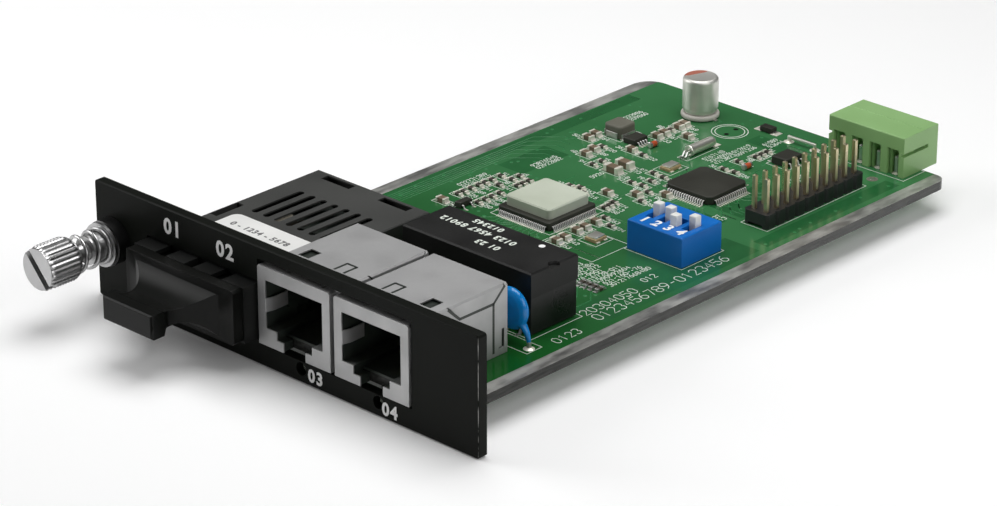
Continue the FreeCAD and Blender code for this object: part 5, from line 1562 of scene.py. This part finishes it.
class Reading(Enum):
    """Ways that a row of digits runs, seen from above: along the row, then up a digit."""

    ALONG_X = (1.0, 0.0, 0.0, 1.0)
    ALONG_Y = (0.0, 1.0, -1.0, 0.0)


GLYPH_STEP = 0.86
GLYPHS: dict[str, list[Point]] = {
    "0": [(0, 0.2), (0, 0.8), (0.2, 1), (0.4, 1), (0.6, 0.8), (0.6, 0.2), (0.4, 0), (0.2, 0),
          (0, 0.2)],
    "1": [(0.1, 0.8), (0.3, 1), (0.3, 0)],
    "2": [(0, 0.8), (0.2, 1), (0.4, 1), (0.6, 0.8), (0.6, 0.62), (0, 0), (0.6, 0)],
    "3": [(0, 0.85), (0.15, 1), (0.45, 1), (0.6, 0.85), (0.6, 0.65), (0.45, 0.52), (0.6, 0.38),
          (0.6, 0.15), (0.45, 0), (0.15, 0), (0, 0.15)],
    "4": [(0.45, 0), (0.45, 1), (0, 0.35), (0.6, 0.35)],
    "5": [(0.6, 1), (0.05, 1), (0, 0.55), (0.4, 0.6), (0.6, 0.42), (0.6, 0.18), (0.4, 0), (0.15, 0),
          (0, 0.15)],
    "6": [(0.5, 1), (0.2, 0.8), (0, 0.45), (0, 0.18), (0.18, 0), (0.42, 0), (0.6, 0.18), (0.6, 0.4),
          (0.42, 0.56), (0.15, 0.56), (0, 0.42)],
    "7": [(0, 1), (0.6, 1), (0.25, 0)],
    "8": [(0.15, 0.52), (0, 0.68), (0, 0.85), (0.15, 1), (0.45, 1), (0.6, 0.85), (0.6, 0.68),
          (0.45, 0.52),
          (0.15, 0.52), (0, 0.36), (0, 0.15), (0.15, 0), (0.45, 0), (0.6, 0.15), (0.6, 0.36),
          (0.45, 0.52)],
    "9": [(0.1, 0), (0.4, 0.2), (0.6, 0.55), (0.6, 0.82), (0.42, 1), (0.18, 1), (0, 0.82), (0, 0.6),
          (0.18, 0.44), (0.45, 0.44), (0.6, 0.58)],
    "-": [(0.1, 0.5), (0.5, 0.5)],
}


def digit_row(text: str, x: float, y: float, height: float,
              way: Reading = Reading.ALONG_Y) -> list[list[Point]]:
    """Draws a row of plain digits as lines.

    Args:
        text: Digits and dashes.
        x: Where the row starts, card millimetres.
        y: The same along the card.
        height: Digit height.
        way: Which way the row runs.

    Returns:
        One line for each digit.
    """
    ax, ay, ux, uy = way.value
    return [[(x + ((u + index * GLYPH_STEP) * ax + v * ux) * height,
              y + ((u + index * GLYPH_STEP) * ay + v * uy) * height) for u, v in GLYPHS[mark]]
            for index, mark in enumerate(text)]


def outline(x0: float, x1: float, y0: float, y1: float) -> list[Point]:
    """Gives a closed rectangle.

    Args:
        x0: Left.
        x1: Right.
        y0: Front.
        y1: Rear.

    Returns:
        Its corners, the first one twice.
    """
    return [(x0, y0), (x1, y0), (x1, y1), (x0, y1), (x0, y0)]


def ring_line(x: float, y: float, radius: float, count: int = 28) -> list[Point]:
    """Gives a closed circle.

    Args:
        x: Centre.
        y: Centre along the card.
        radius: Radius.
        count: Corners.

    Returns:
        Its points, the first one twice.
    """
    turns = [2 * math.pi * (i % count) / count for i in range(count + 1)]
    return [(x + radius * math.cos(t), y + radius * math.sin(t)) for t in turns]


@dataclass
class BoardPrint(Maker):
    """White print on the board: outlines, part numbers and two rows along the edge."""

    seed: int = 41
    line: Point = (0.15, 0.028)
    level: float = 0.012
    taken: list[Span] = field(default_factory=list)

    def build(self) -> None:
        """Prints the whole board."""
        lines = self.outlines() + self.rows() + self.part_marks()
        self.lay("board_print", lines, Ink.SILK, self.level, self.line, "label_paper")

    def outlines(self) -> list[list[Point]]:
        """Gives the outlines round the large parts, and marks the room that the parts take.

        Returns:
            The lines.
        """
        lines = [outline(*span) for span in (
            (41.0, 69.85, 26.4, 38.1), (63.2, 72.75, 22.4, 25.75), (57.5, 69.7, 61.7, 72.1),
            (64.4, 69.98, 82.65, 108.55), (45.9, 57.3, 54.2, 56.2), (46.0, 57.3, 56.2, 63.4),
            (32.0, 45.2, 57.3, 70.5), (54.6, 73.3, 114.4, 120.2), (49.9, 53.8, 59.0, 63.2),
            (39.4, 43.3, 89.4, 94.1), (38.95, 41.25, 96.2, 104.4), (22.4, 27.4, 94.6, 100.1),
            (51.6, 56.3, 104.6, 110.0))]
        self.taken += [
            (40.9, 70.4, 26.0, 38.6), (62.6, 73.4, 22.0, 26.2), (57.0, 70.2, 61.0, 72.6),
            (64.0, 70.4, 82.0, 109.4),
            (31.8, 45.4, 57.1, 70.7), (45.0, 58.2, 82.4, 95.6), (54.4, 73.5, 114.2, 120.2),
            (25.2, 33.8, 109.0, 117.4), (34.6, 41.4, 107.8, 114.6), (11.0, 37.5, 0.0, 37.8),
            (37.5, 71.0, 0.0, 21.4),
            (22.2, 27.6, 94.4, 100.3), (51.4, 56.5, 104.4, 110.2), (38.7, 41.6, 96.0, 105.4),
            (39.2, 43.5, 89.2, 94.3), (47.6, 54.7, 113.9, 115.6), (40.6, 45.0, 114.6, 117.0)]
        return lines + [ring_line(38.0, 111.2, radius) for radius in (3.2, 2.6)]

    def rows(self) -> list[list[Point]]:
        """Gives the rows of plain digits.

        Returns:
            The lines.
        """
        pick = random.Random(self.seed)
        lines = []
        for text, x, y, height in (("0123456789-0123456", 72.75, 38.9, 2.05),
                                   ("20304050", 70.2, 38.7, 1.85),
                                   ("012", 68.6, 54.3, 1.3), ("0123", 73.7, 28.4, 1.75)):
            lines += digit_row(text, x, y, height)
        for index, (start, count) in enumerate(((50.4, 3), (49.2, 6), (47.6, 8), (45.9, 9),
                                                (44.9, 14), (45.6, 14),
                                                (49.4, 11), (49.3, 12))):
            text = "".join(pick.choice("0123456789-") for _ in range(count))
            lines += digit_row(text, 56.9 + index * 1.28, start, 0.95)
        self.taken += [(68.0, 74.0, 28.0, 74.0), (55.6, 67.4, 43.0, 61.0)]
        for x, y, count, rows in ((29.5, 105.6, 5, 1), (44.9, 103.6, 7, 2), (43.3, 98.5, 7, 3),
                                  (20.6, 62.0, 9, 2),
                                  (24.0, 76.4, 8, 2), (46.6, 110.4, 5, 2), (33.6, 104.6, 3, 2),
                                  (52.6, 75.6, 5, 2),
                                  (60.6, 78.6, 5, 2), (60.0, 100.6, 6, 2), (34.6, 79.6, 4, 1),
                                  (21.2, 103.2, 6, 2)):
            for row in range(rows):
                text = "".join(pick.choice("0123456789") for _ in range(count))
                lines += digit_row(text, x + row * 1.25, y, 0.9)
            self.taken.append((x - 1.0, x + rows * 1.3, y - 0.3, y + count * 0.8))
        return lines

    def part_marks(self) -> list[list[Point]]:
        """Gives a box for every chip part, and a number where one finds room.

        Returns:
            The lines.
        """
        pick = random.Random(self.seed + 1)
        spots = [(low.x / MM - CARD_ORIGIN_X, high.x / MM - CARD_ORIGIN_X,
                  low.y / MM - CARD_ORIGIN_Y,
                  high.y / MM - CARD_ORIGIN_Y)
                 for node in ("chip_capacitors", "chip_resistors")
                 for low, high in self.solids(node)]
        self.taken += [(x0 - 0.5, x1 + 0.5, y0 - 0.2, y1 + 0.2) for x0, x1, y0, y1 in spots]
        lines = []
        for x0, x1, y0, y1 in spots:
            lines.append(outline(x0 - 0.62, x1 + 0.62, y0 - 0.3, y1 + 0.3))
            text = pick.choice("123456789") + pick.choice("0123456789")
            for x, y, room in ((x1 + 0.85, y0 + 0.1, (x1 + 0.7, x1 + 2.4, y0, y0 + 1.0)),
                               (x0 - 2.3, y0 + 0.1, (x0 - 2.4, x0 - 0.7, y0, y0 + 1.0)),
                               (x0, y1 + 0.5, (x0, x0 + 1.5, y1 + 0.4, y1 + 1.4)),
                               (x0, y0 - 1.35, (x0, x0 + 1.5, y0 - 1.4, y0 - 0.4))):
                if not any(a < room[1] and b > room[0] and c < room[3] and d > room[2]
                           for a, b, c, d in self.taken):
                    lines += digit_row(text, x, y, 0.85, Reading.ALONG_X)
                    self.taken.append(room)
                    break
        return lines


@dataclass
class Numerals(Maker):
    """Bold plain numerals printed on the panel, the label, the switch and the transformer."""

    lift: float = 0.02
    thick: float = 0.012
    font_share: float = 1.38
    spacing: float = 1.18
    bold: float = 0.046

    def build(self) -> None:
        """Prints every place."""
        front = Matrix(((1, 0, 0), (0, 0, -1), (0, 1, 0)))
        behind = Matrix(((-1, 0, 0), (0, -1, 0), (0, 0, 1)))
        above = Matrix.Identity(3)
        label, case = LABEL_TOP + self.lift, CASE_TOP + self.lift
        panel, switch = -self.lift, SWITCH_TOP + self.lift
        self.stamp("panel_numerals", [("01", 16.3, panel, 15.9, 2.6),
                                      ("02", 28.3, panel, 15.75, 2.6),
                                      ("03", 48.2, panel, 0.85, 2.15),
                                      ("04", 64.1, panel, 0.70, 2.15)],
                   front, Ink.PANEL_PRINT, "label_paper")
        self.stamp("switch_numerals", [(str(i + 1), 59.35 + 2.54 * i, 62.85, switch, 2.0)
                                       for i in range(4)],
                   above, Ink.PANEL_PRINT, "slider_white")
        self.stamp("label_numerals", [("0 - 1234 - 5678", 17.9, 12.2, label, 1.25),
                                      ("90 12 34 56", 17.9, 9.8, label, 1.25),
                                      ("7890 - 123", 22.9, 4.9, label, 1.35)],
                   above, Ink.GREY_PRINT, "chip_black")
        self.stamp("case_numerals", [("01 23", 59.4, 31.0, case, 1.35),
                                     ("0123 4567 89012", 60.0, 34.0, case, 1.38),
                                     ("012345", 55.1, 36.4, case, 1.3)],
                   behind, Ink.SILK, "label_paper")
        mesh = bmesh.new()
        lathe(mesh, [(0, -0.02), (0.55, -0.02), (0.55, 0.02), (0, 0.02)],
              at(63.4, 35.8, CASE_TOP + 0.01), "Z", 28)
        self.finish("transformer_dot", mesh, [Ink.PANEL_PRINT], "label_paper")

    def stamp(self, name: str, rows: list[tuple[str, float, float, float, float]], turn: Matrix,
              layer: Ink, slot: str) -> None:
        """Makes one mesh of solid numerals.

        Args:
            name: The piece's name.
            rows: Text, place on the card and height of each row.
            turn: How the rows stand.
            layer: What they are printed in.
            slot: The record's slot.
        """
        whole = bmesh.new()
        for text, x, y, z, height in rows:
            curve = bpy.data.curves.new("numerals", "FONT")
            curve.body = text
            curve.size = height * self.font_share * MM
            curve.extrude = self.thick * MM
            curve.space_character = self.spacing
            curve.offset = self.bold * height * MM
            curve.resolution_u = 3
            holder = placed("numerals", curve)
            flat = applied(holder)
            flat.transform(Matrix.Translation(at(x, y, z)) @ turn.to_4x4())
            whole.from_mesh(flat)
            bpy.data.objects.remove(holder)
            bpy.data.meshes.remove(flat)
        bmesh.ops.remove_doubles(whole, verts=whole.verts, dist=1e-7)
        for face in whole.faces:
            face.material_index = 0
        self.finish(name, whole, [layer], slot)


@dataclass
class Studio:
    """Floor, light and the photograph's camera."""

    lens: float = 133.5
    floor_half: float = 6.0
    floor_level: float = -0.0001
    horizon: float = 0.95
    zenith: float = 1.60
    eye: Vector = field(default_factory=lambda: at(415.86, -346.75, 249.64))
    aim: Vector = field(default_factory=lambda: at(82.88, 5.42, 31.09))
    lit: Vector = field(default_factory=lambda: at(45.0, 50.0, 5.0))

    def build(self) -> None:
        """Makes the camera, the floor and the lamps."""
        data = bpy.data.cameras.new("camera")
        data.lens = self.lens
        data.sensor_width = 36.0
        data.clip_start = 0.01
        data.clip_end = 20.0
        bpy.context.scene.camera = self.point("camera", data, self.eye, self.aim)
        self.floor()
        self.lights()

    @staticmethod
    def point(name: str, data: bpy.types.ID, place: Vector, aim: Vector) -> Piece:
        """Places a camera or a lamp.

        Args:
            name: Its name.
            data: The camera or lamp.
            place: Where it stands.
            aim: What it looks at.

        Returns:
            The object.
        """
        holder = placed(name, data)
        holder.location = place
        holder.rotation_euler = (aim - place).to_track_quat("-Z", "Y").to_euler()
        return holder

    def floor(self) -> None:
        """Lays a pale floor that runs past the view on every side."""
        mesh = bmesh.new()
        half = self.floor_half
        mesh.faces.new([mesh.verts.new((x * half, y * half, self.floor_level))
                        for x, y in ((-1, -1), (1, -1), (1, 1), (-1, 1))])
        shader = Shader("studio floor")
        shader.put(Base_Color=shader.blend(shader.noise(3.0, 2.0), (0.95, 0.95, 0.95),
                                           (0.97, 0.97, 0.97)),
                   Emission_Color=(1.0, 1.0, 1.0), Emission_Strength=0.05, Roughness=0.75)
        mesh_piece("studio_floor", mesh, [shader.material])

    def lights(self) -> None:
        """Sets a bright surround and three soft panels."""
        world = bpy.data.worlds.new("studio")
        world.use_nodes = True
        sky = NodeBuilder(world.node_tree)
        way = sky.add("ShaderNodeTexCoord").outputs["Generated"]
        part = sky.add("ShaderNodeSeparateXYZ", {"Vector": way})
        lift = sky.add("ShaderNodeMapRange", {"Value": part.outputs["Z"], "From Max": 0.9,
                                              "To Min": self.horizon,
                                              "To Max": self.zenith})
        sky.wire(lift.outputs["Result"], world.node_tree.nodes["Background"].inputs["Strength"])
        bpy.context.scene.world = world
        bpy.context.scene.view_settings.view_transform = "Standard"
        for name, place, size, power in (("top", at(20.0, 120.0, 420.0), 0.34, 1.5),
                                         ("left", at(-330.0, -120.0, 210.0), 0.26, 0.8),
                                         ("right", at(330.0, 40.0, 180.0), 0.22, 0.32)):
            data = bpy.data.lights.new(name, "AREA")
            data.size = size
            data.energy = power
            self.point(name, data, place, self.lit)


def main() -> None:
    """Builds the whole visual model in order."""
    logging.basicConfig(level=logging.INFO, format="%(name)s: %(message)s")
    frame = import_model()
    palette = Palette()
    for maker in (Rounding, ChipParts, GullLeads, RoundParts, SmallParts, ShieldSeamShade, KnurledHead,
                  PressedSpring, BoardCopper, BoardPrint, Numerals):
        maker(frame, palette).build()
    Studio().build()


if __name__ == "__main__":
    main()
